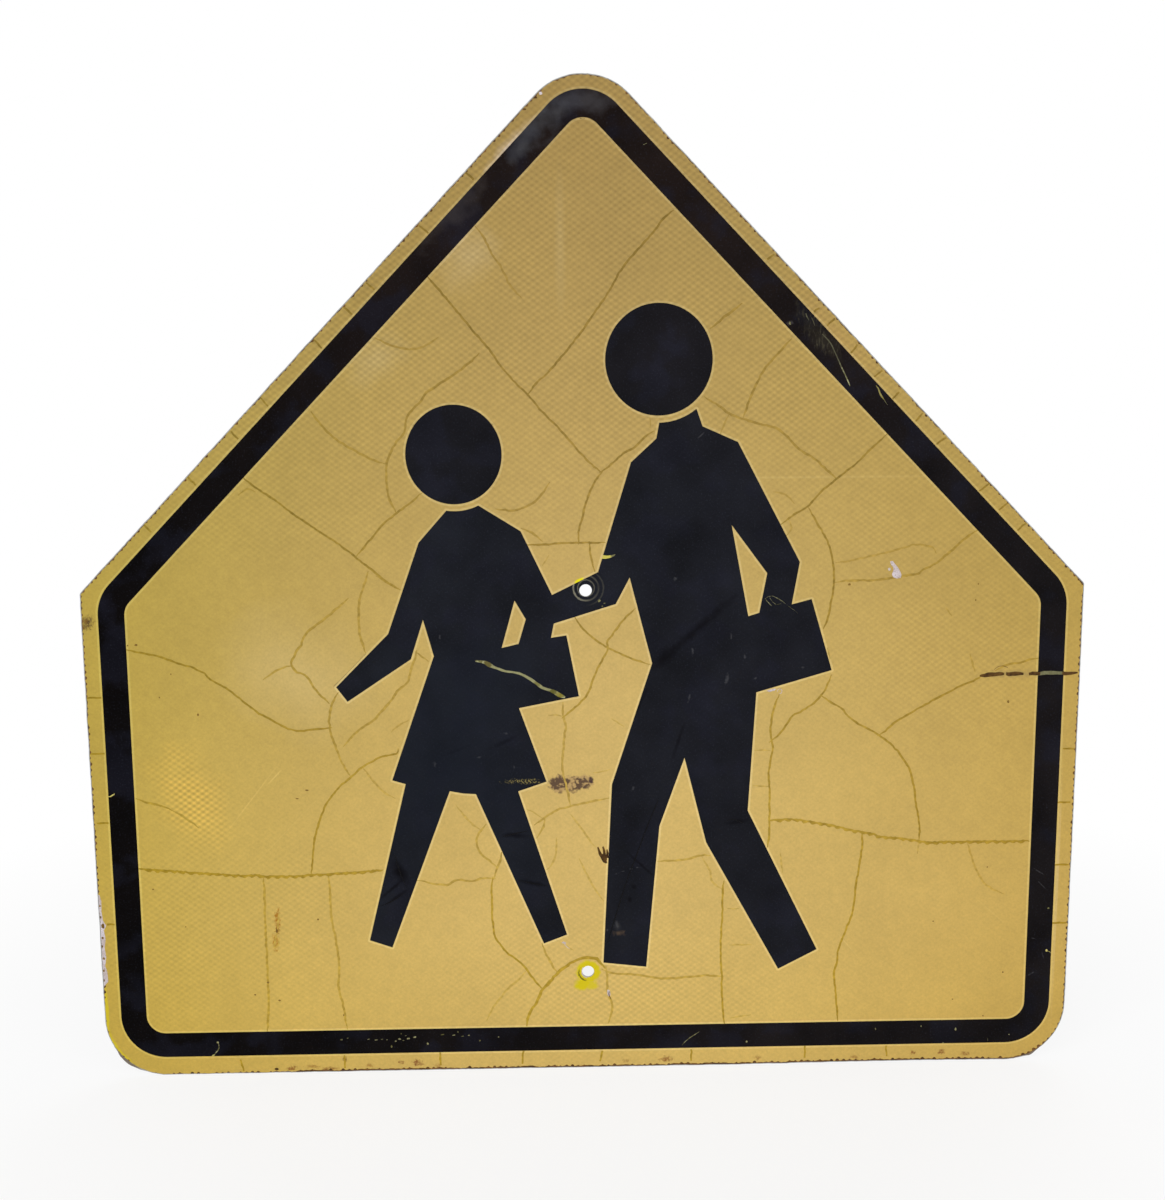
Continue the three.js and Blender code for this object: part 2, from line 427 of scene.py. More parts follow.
def dull_aluminium():
    """Mill-rolled sheet: fine upright roll lines, grey oxide clouds, run-off streaks and washer marks."""
    finish, spot = new_finish("dull_aluminium")
    clouds = grain(spot, 70, 5.0)
    colour = tint(spread(clouds, 0.35, 0.7), linear(184, 185, 182), linear(162, 163, 161))
    speckle = spread(grain(spot, 2.2, 6.0), 0.56, 0.7)
    colour = tint(times(speckle, 0.5), colour, linear(118, 117, 112))
    runs = spread(grain(spot, 6, 4.0, (1, 1, 30)), 0.5, 0.75)
    colour = tint(times(runs, 0.35), colour, linear(128, 124, 114))
    chalk = spread(grain(spot, 11, 6.0), 0.62, 0.72)
    colour = tint(times(chalk, 0.6), colour, linear(214, 214, 208))
    at = axes(spot)
    post_strip = spread(reckon("ABSOLUTE", at["X"]), 27, 24)
    behind = spread(at["Y"], BLANK_BACK - 0.4, BLANK_BACK - 0.1)
    colour = tint(times(times(post_strip, behind), 0.5), colour, linear(196, 197, 195))
    for hole in (LOWER_HOLE, UPPER_HOLE):
        washer = band(spot, (0, hole), 9, 1.6, 0.8)
        colour = tint(times(washer, 0.55), colour, linear(92, 86, 78))
        colour = marked(colour, spot, [((1, hole - 22), (5, 26), 0, 0.4, (132, 96, 66))], 0.5, 5, 0.9)
    # The metal is darker and browner at the two knocked foot corners
    darker_corners = [((-369, 10), (17, 17), 0, 0.75, (104, 84, 60)), ((358, 6), (14, 9), 0, 0.75, (104, 84, 60))]
    colour = marked(colour, spot, darker_corners, 0.4, 6, 0.5)
    roll_lines = grain(spot, 0.5, 2.0, (1, 1, 60))
    rough = spread(clouds, 0.3, 0.7, 0.4, 0.52)
    height = plus(roll_lines, times(speckle, -0.6))
    return painted(finish, colour, rough, height, 0.25, metal=0.9)


blank_edge = in_steps(anticlockwise(blank_outline), EDGE_STEP)
blank_edge = knocked(blank_edge, FOOT_KNOCKS + WAVES_IN_THE_EDGE, 0.08)
blank = new_piece("blank", *plate(blank_edge, bolt_holes, BLANK_BACK, BLANK_FACE, EDGE_BREAK),
                  [dull_aluminium()], "bare_aluminium", "sign_blank")

# The base sheet
# Silver sheet with fine glass beads pressed into it, stuck all over the blank by its own adhesive. It
# shows white where the yellow film has flaked off, and grimy along its trimmed edge, where the dark line
# along the foot is also painted shade.
BASE_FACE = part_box("sheeting_base")[0].y / MM
TRIM_SLOPE = 0.02
BEADS_PER_MM = 6.0

sheeting_outline, *sheeting_holes = outlines("sheeting_base")
sheeting_edge = knocked(in_steps(anticlockwise(sheeting_outline), EDGE_STEP), WAVES_IN_THE_EDGE, 0.1)


def beaded_silver():
    """Beads about a tenth of a millimetre across, in a pale resin that has yellowed in clouds."""
    finish, spot = new_finish("beaded_silver")
    clouds = grain(spot, 9, 4.0)
    colour = tint(spread(clouds, 0.35, 0.65), linear(222, 214, 222), linear(198, 184, 182))
    specks = spread(grain(spot, 1.1, 5.0), 0.53, 0.64)
    colour = tint(times(specks, 0.6), colour, linear(138, 112, 96))
    beads = put(spot.id_data, "TexVoronoi", {"Vector": spot, "Scale": BEADS_PER_MM}).outputs["Distance"]
    return painted(finish, colour, 0.62, beads, 0.5, metal=0.15, gloss=0.4)


new_piece("base_sheet", *plate(sheeting_edge, sheeting_holes, BLANK_FACE, BASE_FACE, TRIM_SLOPE),
          [beaded_silver()], "beaded_base_sheet", "sheeting_base")

# Cracks, chips and the dirt in them
# The face film has shrunk and split, mostly round the two bolts. Each crack is an open channel down to the
# base sheet, where road dirt has settled. Some run from cell to cell and have toothed edges, like a zip.
CELL_WIDTH = 6.73
CELL_HEIGHT = 4.85
ARC_WIDTH = 2.45
OPEN_WIDTH = 1.6
FINE_WIDTH = 1.8
HAIR_WIDTH = 1.6
ZIP_WIDTH = 1.8
ZIP_TEETH = 1.2
MARGIN_WIDTH = 1.7
BLACK_CRACK_WIDTH = 0.8
CRACK_STEP = 2.6
PAST_THE_END = 1.3
DIRT_DEPTH = 0.05

# The widest one, round the lower bolt
ARC_CRACKS = [
    [(-49, 37), (-48, 42), (-45, 49), (-40, 58), (-36, 67), (-30, 73), (-24, 80), (-18, 85), (-12, 89),
     (-4, 92), (2, 92), (7, 91), (10, 88), (13, 84)],
]

OPEN_CRACKS = [
    # Above and between the heads
    [(-114, 619), (-108, 612), (-98, 600), (-88, 588), (-80, 578), (-69, 565), (-60, 552), (-53, 544),
     (-42, 533), (-30, 519), (-20, 509), (-8, 495), (3, 483), (12, 475)],
    [(-42, 533), (-36, 541), (-28, 548), (-20, 557), (-8, 571), (0, 581), (6, 590), (11, 597), (16, 604),
     (22, 614), (26, 621), (31, 628), (38, 636), (44, 642), (51, 650), (59, 660), (65, 665)],
    [(12, 475), (20, 481), (29, 489), (37, 493), (45, 501), (51, 505)],
    [(13, 475), (8, 469), (4, 461), (0, 450), (-3, 438), (-5, 430), (-5, 422)],
    [(-44, 421), (-30, 421), (-12, 422), (14, 422)],
    [(3, 422), (4, 412), (7, 401)],
    # Left shoulder
    [(-254, 473), (-246, 466), (-234, 458), (-220, 447), (-209, 439), (-197, 431), (-183, 421),
     (-172, 412), (-161, 403), (-148, 392), (-141, 388)],
    [(-172, 414), (-166, 421), (-158, 430), (-151, 438), (-141, 446), (-133, 452), (-123, 460)],
    # Left side
    [(-348, 344), (-340, 342), (-331, 340), (-320, 337), (-310, 333), (-300, 330), (-294, 327),
     (-290, 325), (-286, 320), (-279, 316), (-270, 310), (-262, 303), (-256, 298), (-250, 293),
     (-243, 289), (-238, 286), (-231, 282), (-226, 280), (-219, 279), (-208, 280), (-196, 281)],
    # Right shoulder
    [(226, 501), (215, 491), (205, 481), (189, 468), (178, 459), (169, 449), (158, 442), (149, 435)],
    [(169, 446), (174, 437), (181, 426), (185, 417), (188, 405), (189, 390), (187, 374), (185, 363),
     (182, 355)],
    # Right side
    [(188, 317), (185, 309), (181, 302), (175, 296), (171, 293), (165, 289), (159, 286), (155, 280),
     (151, 274), (145, 268), (142, 266)],
    [(181, 302), (186, 298), (191, 295), (198, 290), (202, 285), (210, 279), (218, 275), (226, 270),
     (235, 263), (241, 257), (246, 250), (251, 242), (253, 234), (255, 226), (256, 217), (258, 208),
     (259, 201), (260, 194), (260, 186)],
    [(226, 270), (231, 273), (235, 277), (240, 281), (247, 285), (255, 290), (264, 295), (271, 299),
     (279, 303), (288, 308), (298, 312), (305, 316)],
    # Between the two figures
    [(-8, 365), (-4, 358), (0, 354), (5, 349), (11, 345), (17, 341), (23, 338), (31, 334), (39, 331),
     (48, 328)],
    [(37, 371), (31, 365), (25, 358), (20, 351), (16, 345), (17, 341), (13, 333), (10, 327), (7, 321),
     (4, 313), (1, 305), (-5, 298), (-12, 292), (-18, 287)],
    # Below the figures
    [(107, 153), (106, 145), (106, 128), (105, 110), (105, 91), (106, 76), (106, 64), (107, 48), (108, 36)],
    [(148, 302), (145, 294), (143, 285), (142, 275), (143, 266), (144, 261), (142, 249), (141, 238),
     (142, 228), (142, 215), (142, 203), (142, 190), (141, 182)],
    [(215, 192), (215, 179), (213, 162), (211, 150), (210, 136), (208, 124), (204, 113), (201, 104),
     (198, 96), (197, 85), (195, 76), (196, 67), (197, 56), (198, 47), (199, 37)],
    [(-74, 159), (-75, 150), (-75, 139), (-75, 128), (-74, 119), (-73, 111), (-69, 105), (-64, 98),
     (-58, 93), (-53, 89), (-49, 84), (-45, 78), (-40, 71), (-36, 67)],
    [(-190, 235), (-194, 231), (-200, 223), (-204, 215), (-207, 207), (-210, 198), (-212, 189),
     (-213, 178), (-215, 165)],
    [(-195, 229), (-190, 235), (-183, 241), (-175, 248), (-169, 252), (-160, 257), (-152, 259),
     (-146, 260), (-145, 263)],
]

FINE_CRACKS = [
    # Above and between the heads
    [(-78, 563), (-87, 555), (-97, 548), (-108, 541), (-117, 535), (-121, 529), (-130, 520), (-133, 513),
     (-134, 506), (-140, 499), (-145, 490), (-148, 481), (-148, 467), (-146, 456), (-142, 447)],
    [(-27, 467), (-34, 457), (-42, 451), (-53, 447), (-66, 448)],
    [(-47, 433), (-40, 430), (-33, 424)],
    [(90, 530), (100, 524), (108, 518), (118, 514), (131, 510), (143, 507), (152, 500), (161, 491),
     (172, 484), (180, 477), (189, 469)],
    [(153, 572), (143, 561), (134, 551), (129, 541), (124, 531), (119, 516)],
    [(94, 581), (97, 583), (104, 589), (111, 594), (116, 598)],
    # Left shoulder and side
    [(-202, 521), (-197, 514), (-189, 505), (-180, 498), (-168, 491), (-158, 486), (-150, 483)],
    [(-164, 401), (-168, 389), (-171, 380), (-172, 369), (-172, 360), (-171, 351), (-168, 340)],
    [(-157, 398), (-149, 393), (-141, 388)],
    [(-180, 381), (-187, 375), (-195, 368), (-206, 360), (-211, 356), (-215, 350), (-216, 346),
     (-220, 341), (-223, 335), (-224, 330), (-220, 325), (-214, 323), (-211, 319), (-208, 313),
     (-204, 308), (-200, 304), (-197, 301)],
    [(-190, 308), (-194, 301), (-196, 294), (-197, 286), (-196, 277), (-193, 267), (-190, 258),
     (-186, 249), (-183, 244)],
    [(-186, 267), (-180, 274), (-172, 281), (-165, 285), (-158, 292), (-152, 299), (-147, 305),
     (-143, 311), (-137, 315), (-135, 320), (-133, 328), (-130, 335), (-129, 340)],
    [(-129, 339), (-125, 336), (-121, 333)],
    [(-346, 227), (-339, 224), (-331, 222), (-325, 220), (-321, 218)],
    [(-252, 162), (-252, 150), (-252, 128), (-252, 110), (-252, 91), (-252, 76), (-252, 59), (-253, 45),
     (-254, 36)],
    [(-202, 163), (-201, 153), (-201, 139), (-200, 124), (-198, 113), (-197, 104), (-196, 95), (-196, 82),
     (-197, 73), (-195, 62), (-193, 53), (-192, 42), (-191, 37)],
    # Right side
    [(316, 320), (321, 323), (327, 325), (335, 326), (341, 328), (348, 329)],
    [(191, 390), (200, 391), (209, 391), (220, 391), (229, 392), (241, 394), (248, 395), (254, 396),
     (257, 399), (262, 401), (267, 404), (273, 409), (279, 414), (284, 419), (289, 423), (293, 426),
     (297, 428)],
    # Below the figures
    [(-18, 298), (-18, 289), (-16, 280), (-17, 272), (-18, 261), (-19, 251), (-18, 241), (-15, 229),
     (-13, 217)],
    [(-40, 202), (-32, 208), (-24, 213), (-18, 215), (-10, 217), (0, 219), (9, 221), (16, 222)],
    [(-33, 206), (-34, 200), (-39, 192)],
    [(-79, 202), (-84, 196), (-86, 190), (-85, 183), (-81, 177), (-76, 173), (-72, 169)],
    [(-67, 179), (-68, 173), (-71, 166), (-73, 159)],
    [(-132, 158), (-127, 157), (-120, 155), (-110, 154), (-106, 156), (-101, 158), (-90, 157), (-81, 159),
     (-73, 159)],
    [(-36, 104), (-34, 98), (-30, 90), (-27, 84), (-24, 80)],
    [(14, 84), (15, 78), (15, 68), (16, 61), (18, 56), (19, 50), (18, 44), (16, 38)],
    [(12, 82), (20, 79), (34, 78), (46, 76), (58, 74), (69, 74), (80, 75), (92, 76), (106, 75)],
    [(56, 171), (66, 171), (77, 172), (89, 175), (95, 175)],
]

HAIR_CRACKS = [
    [(108, 518), (104, 509), (102, 504)],
    [(143, 459), (151, 457), (157, 451)],
    [(154, 437), (156, 432), (153, 427)],
    [(49, 514), (49, 509)],
    [(-28, 412), (-32, 406)],
    [(-224, 330), (-230, 329), (-236, 326), (-241, 323), (-245, 320)],
    [(-149, 278), (-143, 283), (-137, 286)],
    [(-172, 249), (-164, 238), (-157, 230), (-149, 225)],
    [(-28, 289), (-23, 289), (-18, 288)],
    [(-46, 214), (-40, 211), (-36, 208)],
    [(-101, 218), (-96, 211), (-90, 204), (-84, 199)],
    [(-78, 654), (-72, 646), (-68, 637), (-61, 627), (-54, 613), (-46, 604)],
    [(-153, 575), (-142, 570), (-129, 567), (-118, 569), (-108, 575)],
    [(-258, 461), (-252, 465), (-247, 463)],
    [(191, 405), (200, 406), (209, 408), (218, 410), (227, 412), (235, 414), (242, 416), (248, 418),
     (254, 418), (260, 417), (264, 416), (266, 412)],
    [(-241, 132), (-242, 126), (-243, 119)],
    [(-243, 117), (-245, 111), (-246, 105), (-243, 106), (-242, 112)],
    [(-24, 190), (-24, 181), (-27, 171), (-31, 166)],
    [(-12, 209), (-7, 202), (-1, 193), (3, 187), (6, 184)],
    [(6, 243), (12, 244), (17, 245)],
    [(20, 285), (28, 280)],
    [(-49, 82), (-55, 75), (-63, 68), (-70, 59), (-76, 51), (-80, 42)],
    [(90, 173), (96, 162), (98, 153), (106, 147)],
    [(131, 259), (141, 259)],
    [(130, 231), (141, 230)],
    [(111, 131), (118, 131)],
    [(113, 101), (128, 101)],
    [(151, 175), (153, 161)],
    [(295, 332), (299, 320)],
    [(276, 368), (279, 364)],
    [(298, 182), (301, 173), (305, 162), (311, 151), (319, 144), (328, 140)],
    [(259, 181), (259, 175)],
    [(-321, 218), (-314, 214), (-306, 208), (-301, 204)],
    [(-6, 173), (-3, 166), (1, 158), (5, 150), (9, 144), (12, 140)],
    [(114, 40), (128, 42)],
    [(-15, 101), (-12, 99)],
    [(185, 338), (187, 331)],
]

# Cracks that run from cell to cell, with teeth along their lower side
ZIP_CRACKS = [
    [(-348, 171), (-339, 170), (-328, 169), (-317, 168), (-305, 167), (-293, 166), (-280, 165), (-268, 164),
     (-257, 164), (-250, 163), (-237, 163), (-225, 163), (-214, 164), (-202, 164), (-190, 165), (-184, 165),
     (-172, 166), (-159, 167)],
    [(142, 203), (154, 203), (163, 203), (174, 201), (185, 199), (195, 197), (210, 193), (221, 191),
     (230, 188), (241, 187), (256, 185), (267, 183), (276, 183), (288, 183), (301, 183), (313, 183),
     (325, 183), (338, 183), (347, 183)],
]

# Short splits from the border out to the sign's edge
MARGIN_SPLITS = [
    ((-85, 693), (-79, 688)), ((-120, 656), (-113, 650)), ((-159, 615), (-153, 610)),
    ((-176, 598), (-170, 592)), ((-199, 575), (-193, 568)), ((-240, 533), (-234, 526)),
    ((-262, 508), (-257, 502)), ((-296, 475), (-290, 468)), ((-331, 440), (-325, 433)),
    ((135, 630), (140, 634)), ((170, 592), (174, 595)), ((180, 582), (186, 587)), ((198, 562), (203, 568)),
    ((216, 544), (222, 549)), ((230, 528), (235, 533)), ((248, 511), (253, 517)), ((264, 494), (271, 499)),
    ((298, 458), (306, 465)), ((313, 444), (320, 449)), ((328, 428), (335, 435)),
    ((-380, 307), (-369, 307)), ((-380, 263), (-369, 263)), ((-378, 208), (-369, 208)),
    ((-375, 126), (-369, 126)), ((370, 257), (379, 257)), ((368, 214), (378, 214)), ((368, 163), (379, 163)),
    ((368, 115), (379, 115)), ((-276, 12), (-274, 2)), ((-194, 14), (-194, 3)), ((-118, 15), (-118, 4)),
    ((-52, 15), (-53, 4)), ((11, 14), (9, 5)), ((82, 14), (82, 4)), ((173, 15), (173, 5)),
    ((238, 14), (239, 5)),
]

# How far a crack wanders off its route, and how much each side's half width varies
WANDER = 0.16
HALF_WIDTHS = (0.75, 1.25)


def smooth(route, step):
    """A curve through a route's points, in even steps."""
    ends = [route[0] * 2 - route[1]] + route + [route[-1] * 2 - route[-2]]
    curve = []
    for a, b, c, d in zip(ends, ends[1:], ends[2:], ends[3:]):
        count = max(1, round((c - b).length / step))
        for i in range(count):
            t = i / count
            curve.append(((b * 2) + (c - a) * t + (a * 2 - b * 5 + c * 4 - d) * t ** 2
                          + (b * 3 - a - c * 3 + d) * t ** 3) / 2)
    return curve + [route[-1]]


def square_to(line, i):
    """The direction square to a line at its point i, to its left."""
    along = (line[min(i + 1, len(line) - 1)] - line[max(i - 1, 0)]).xy.normalized()
    return Vector((-along.y, along.x))


def channel(route, width, seed, tooth=0.0, ends=0.35):
    """The outline of a split along a route: uneven, narrow at its ends, and toothed below if asked."""
    uneven = random.Random(seed)
    line = smooth([Vector(p) for p in route], CELL_WIDTH / 4 if tooth else CRACK_STEP)
    upper = []
    lower = []
    for i, here in enumerate(line):
        across = square_to(line, i)
        taper = ends + (1 - ends) * min(1, i / 3, (len(line) - 1 - i) / 3)
        here = here + across * width * uneven.uniform(-WANDER, WANDER)
        upper.append(here + across * width / 2 * taper * uneven.uniform(*HALF_WIDTHS))
        notch = tooth * (0.6 + 0.4 * uneven.random()) if i % 4 < 2 else 0
        lower.append(here - across * (width / 2 * taper * uneven.uniform(*HALF_WIDTHS) + notch * taper))
    return lower + upper[::-1]


def run_on(route):
    """The route with both ends a little further out, so that a crack reaches the one that it meets."""
    first, second, last_but_one, last = (Vector(route[i]) for i in (0, 1, -2, -1))
    start = first + (first - second).normalized() * PAST_THE_END
    end = last + (last - last_but_one).normalized() * PAST_THE_END
    return [start] + route[1:-1] + [end]


def gouge(stations, seed):
    """The outline of a gouge from its stations: x, height and the width there."""
    uneven = random.Random(seed)
    line = smooth([Vector(station) for station in stations], CRACK_STEP)
    upper = []
    lower = []
    for i, station in enumerate(line):
        across = square_to(line, i) * station.z / 2
        upper.append(station.xy + across * uneven.uniform(0.8, 1.2))
        lower.append(station.xy - across * uneven.uniform(0.8, 1.2))
    return lower + upper[::-1]


def blot(centre, half, seed, points=11, jag=0.3, lean=0.0):
    """A chip's outline: an uneven oval."""
    uneven = random.Random(seed)
    turned = Matrix.Rotation(math.radians(lean), 2)
    ring = []
    for i in range(points):
        angle = 2 * math.pi * i / points
        reach = 1 - jag * uneven.random()
        out = Vector((half[0] * math.cos(angle), half[1] * math.sin(angle)))
        ring.append(Vector(centre) + turned @ out * reach)
    return ring


crack_rings = [channel(run_on(route), OPEN_WIDTH, i) for i, route in enumerate(OPEN_CRACKS)]
crack_rings += [channel(run_on(route), ARC_WIDTH, 80 + i) for i, route in enumerate(ARC_CRACKS)]
crack_rings += [channel(route, ZIP_WIDTH, 300 + i, ZIP_TEETH) for i, route in enumerate(ZIP_CRACKS)]
crack_rings += [channel(route, MARGIN_WIDTH, 400 + i, 0.0, 0.8) for i, route in enumerate(MARGIN_SPLITS)]
fine_rings = [channel(run_on(route), FINE_WIDTH, 100 + i) for i, route in enumerate(FINE_CRACKS)]
hair_rings = [channel(run_on(route), HAIR_WIDTH, 200 + i) for i, route in enumerate(HAIR_CRACKS)]

# Cracks under the black, which has split with the film
BLACK_CRACKS = [
    [(56, 222), (47, 200), (38, 175), (29, 150), (20, 120), (15, 103)],
    [(105, 200), (113, 204), (123, 200)],
    [(-67, 192), (-56, 195), (-45, 197)],
    [(-53, 157), (-42, 154), (-31, 152)],
    [(-150, 180), (-146, 165), (-141, 152)],
    [(-163, 137), (-152, 142), (-142, 148)],
]
black_crack_rings = [channel(route, BLACK_CRACK_WIDTH, 90 + i) for i, route in enumerate(BLACK_CRACKS)]

# Bare chips, down to the white beads, and the flaked strip along the left edge
CHIP_LINE = [(231.4, 405.4), (233.4, 405.8), (235.2, 403.4), (237.4, 401), (239.2, 398), (240.4, 395),
             (240, 392.8), (237, 392.2), (234.2, 393.2), (233, 395.6), (234.2, 398.6), (234, 401),
             (232.4, 402.6)]
FLAKE_LINE = [(-380.2, 75), (-376.5, 79), (-376.9, 87), (-378.2, 92), (-377.0, 99), (-377.8, 107),
              (-376.6, 114), (-377.6, 121), (-375.6, 125), (-377.8, 129), (-378.6, 137), (-378.2, 145),
              (-379.4, 150), (-384, 150), (-384, 75)]
chip_rings = [
    [Vector(p) for p in CHIP_LINE],
    blot((231, 399.4), (1.7, 1.2), 2, 9, 0.4, -30),
    blot((142.6, 306.4), (4.4, 1.2), 3, 13, 0.45, 12),
    channel([(146.6, 305), (147.2, 307), (149, 307.6), (150.6, 306.2), (150.2, 304.2), (148, 303.4)],
            0.9, 4),
    blot((-18.6, 105), (2.4, 1.5), 5, 11, 0.5, -20),
    channel([(-19.5, 106.5), (-18, 103.6), (-16.4, 101.4), (-14.4, 99.8)], 0.9, 6),
    blot((16.2, 62.6), (1.5, 3.4), 7, 9, 0.4, 8),
    blot((-30, 748), (1.5, 1.3), 8),
    blot((-155, 623), (1.2, 0.9), 9),
    channel([(-4.0, 84.6), (-5.0, 82), (-4.7, 78.6), (-3.2, 76.2), (-0.6, 75.2)], 1.3, 10),
    [Vector(p) for p in FLAKE_LINE],
]

# Gouges and scuffs with black dirt rubbed into them
GOUGE_LINE = 317
dark_rings = [
    gouge([(303, GOUGE_LINE - 1.2, 1.4), (307, GOUGE_LINE - 0.8, 3.0), (312, GOUGE_LINE - 0.3, 3.6),
           (318, GOUGE_LINE, 3.3), (322, GOUGE_LINE, 2.0)], 21),
    gouge([(323.4, GOUGE_LINE, 2.4), (328, GOUGE_LINE, 3.6), (332.6, GOUGE_LINE, 3.0),
           (337, GOUGE_LINE, 1.5)], 22),
    gouge([(341, GOUGE_LINE - 0.3, 1.8), (344, GOUGE_LINE, 3.0), (350, GOUGE_LINE, 3.0)], 23),
    gouge([(367, GOUGE_LINE, 2.8), (372, GOUGE_LINE, 2.8), (376, GOUGE_LINE + 0.3, 2.2),
           (379, GOUGE_LINE + 0.4, 1.0)], 24),
    channel([(314, 320.4), (317, 322.8), (321, 323.4), (325, 321.6)], 0.6, 25),
    gouge([(8.2, 183, 1.2), (9.4, 179.4, 2.0), (11.2, 175.4, 3.0), (13.6, 171.6, 2.8), (15, 169.8, 1.2)],
          26),
    gouge([(12.2, 183.4, 1.2), (13, 180, 1.9), (13.8, 176, 2.2), (14.2, 172, 2.2)], 27),
    gouge([(15.4, 181, 1.2), (15.6, 178, 1.9), (15.6, 174, 2.0)], 28),
    blot((12.8, 174.8), (2.6, 3.4), 29, 11, 0.3),
    channel([(16.5, 64), (16.5, 60), (18, 57)], 1.1, 30),
    blot((-34, 745), (1.7, 0.8), 45),
    blot((-42, 737), (1.9, 0.8), 46),
    blot((-248, 3.4), (1.8, 1.2), 47),
]

# Small brown pits, and the spots in the flaked strip
PITS = [
    ((-243.3, 118.5), (1.1, 2.2)), ((299.5, 387.4), (0.5, 1.1)), ((-340.7, 347.4), (1.4, 1.1)),
    ((-347, 347), (0.8, 0.7)), ((-296.5, 292.8), (0.9, 1.5)), ((-315.5, 324.6), (0.7, 0.7)),
    ((-325, 306.6), (0.6, 0.8)),
    ((-215.8, 232), (1.6, 0.9)), ((-223.5, 225.4), (1.5, 0.6)), ((-337.7, 154), (0.9, 0.8)),
    ((-314, 123), (0.7, 0.7)), ((-252, 76), (1.0, 1.1)), ((-211, 127.5), (0.9, 0.9)),
    ((-262.5, 66), (0.9, 0.8)), ((-243.5, 61), (1.2, 0.8)), ((-193.5, 47.7), (0.6, 1.2)),
    ((200.8, 388.2), (1.5, 1.1)), ((298, 375), (0.7, 1.0)), ((326, 295), (1.2, 1.6)),
    ((314.5, 162), (0.8, 0.7)), ((273, 118), (0.7, 0.8)), ((330, 74.5), (0.8, 1.0)),
    ((290.5, 52.5), (0.7, 0.7)), ((315.5, 38), (0.8, 0.7)), ((-377, 366), (1.6, 2.0)),
    ((-379, 361), (1.1, 1.5)), ((-378.2, 124.5), (1.6, 2.4)), ((-379.5, 88), (1.0, 1.3)),
    ((-378.9, 98), (1.1, 1.3)), ((-379.6, 108), (0.9, 1.3)), ((-379.0, 115), (1.1, 1.3)),
    ((-379.6, 132), (0.9, 1.3)), ((-379.6, 141), (0.9, 1.2)), ((-379.8, 80), (0.8, 1.2)),
]
pit_rings = [blot(centre, half, 500 + i, 9, 0.35) for i, (centre, half) in enumerate(PITS)]


def edge_bites(ring, pitch, seed):
    """Half-open cells along a trimmed edge. Each is a small bite in the film, packed with dirt. Along the
    foot they nearly join into one dark line, which is dirt and painted shade at the edge.
    """
    uneven = random.Random(seed)
    bites = []
    far = 0.0
    mark = 0.0
    for here, after in sides(ring):
        length = (after - here).length
        along = (after - here).normalized()
        inward = Vector((-along.y, along.x))
        while mark < far + length:
            spot = here + along * (mark - far)
            # By place, the wide bites and then the deep ones: half width in cells, depth and how often
            # Along the foot the bites nearly join into one dark line: dirt, and painted shade at the trimmed
            # edge
            if spot.y < 12 and spot.x > -230:
                sorts = ((0.8, 1.5, 1.0), (0.3, 2.2, 0.7))
            elif spot.y < 62 and spot.x < -330:
                sorts = ((0.4, 0.5, 0.3), (0.2, 1.0, 0.2))
            elif spot.y > 400:
                sorts = ((0.6, 0.8, 0.7), (0.22, 1.5, 0.6))
            else:
                sorts = ((0.55, 0.75, 0.8), (0.26, 1.5, 0.85))
            for half, deep, odds in sorts:
                if uneven.random() < odds:
                    size = uneven.uniform(0.7, 1.25)
                    half *= pitch * size
                    deep *= size
                    bites.append([spot + along * half * math.cos(a) + inward * (deep * math.sin(a) - 0.3)
                                  for a in (math.pi * k / 5 for k in range(6))]
                                 + [spot - along * half - inward * 0.9, spot + along * half - inward * 0.9])
            mark += pitch * uneven.uniform(0.93, 1.07)
        far += length
    return bites


rim_rings = edge_bites(sheeting_edge, CELL_HEIGHT, 8)

# The black's outlines, and the gaps in it that show yellow. The bolt hole is smaller than any of them.
BESIDE_BLACK = 1.6
SMALLEST_GAP = 100
black_rings = {node: outlines(node) for node in ("border_band", "walking_pair", "adult_head", "child_head")}
yellow_gaps = {node: [ring for ring in rings[1:] if abs(area(ring)) > SMALLEST_GAP]
               for node, rings in black_rings.items()}


def beside(ring, reach):
    """Narrow boxes over each side of a ring, and a small disc at each corner."""
    made = []
    for a, b in sides(ring):
        along = (b - a).normalized() * reach
        out = Vector((along.y, -along.x))
        made.append([a + out, b + out, b - out, a - out])
        made.append([a + Vector((reach * math.cos(k), reach * math.sin(k))) for k in
                     (math.pi * n / 4 for n in range(8))])
    return made


beside_rings = [box for node, rings in black_rings.items() for ring in rings[:1] + yellow_gaps[node]
                for box in beside(ring, BESIDE_BLACK)]
CUTS = {"hole": sheeting_holes, "crack": crack_rings, "fine": fine_rings, "hair": hair_rings,
        "black crack": black_crack_rings, "chip": chip_rings, "dark": dark_rings, "pit": pit_rings,
        "rim": rim_rings, "beside": beside_rings}
sheeting_parts = [("sheet", sheeting_edge)]
sheeting_parts += [(name, ring) for name, rings in CUTS.items() for ring in rings]
for node, rings in black_rings.items():
    sheeting_parts.append((node, rings[0]))
    sheeting_parts += [("gap in " + node, ring) for ring in yellow_gaps[node]]


def labelled(parts, extra=()):
    """Triangles over all parts, each with the set of names of the parts that hold it."""
    spots, faces, holders = fill([ring for _, ring in parts], extra)
    return spots, faces, [{parts[i][0] for i in held} for held in holders]


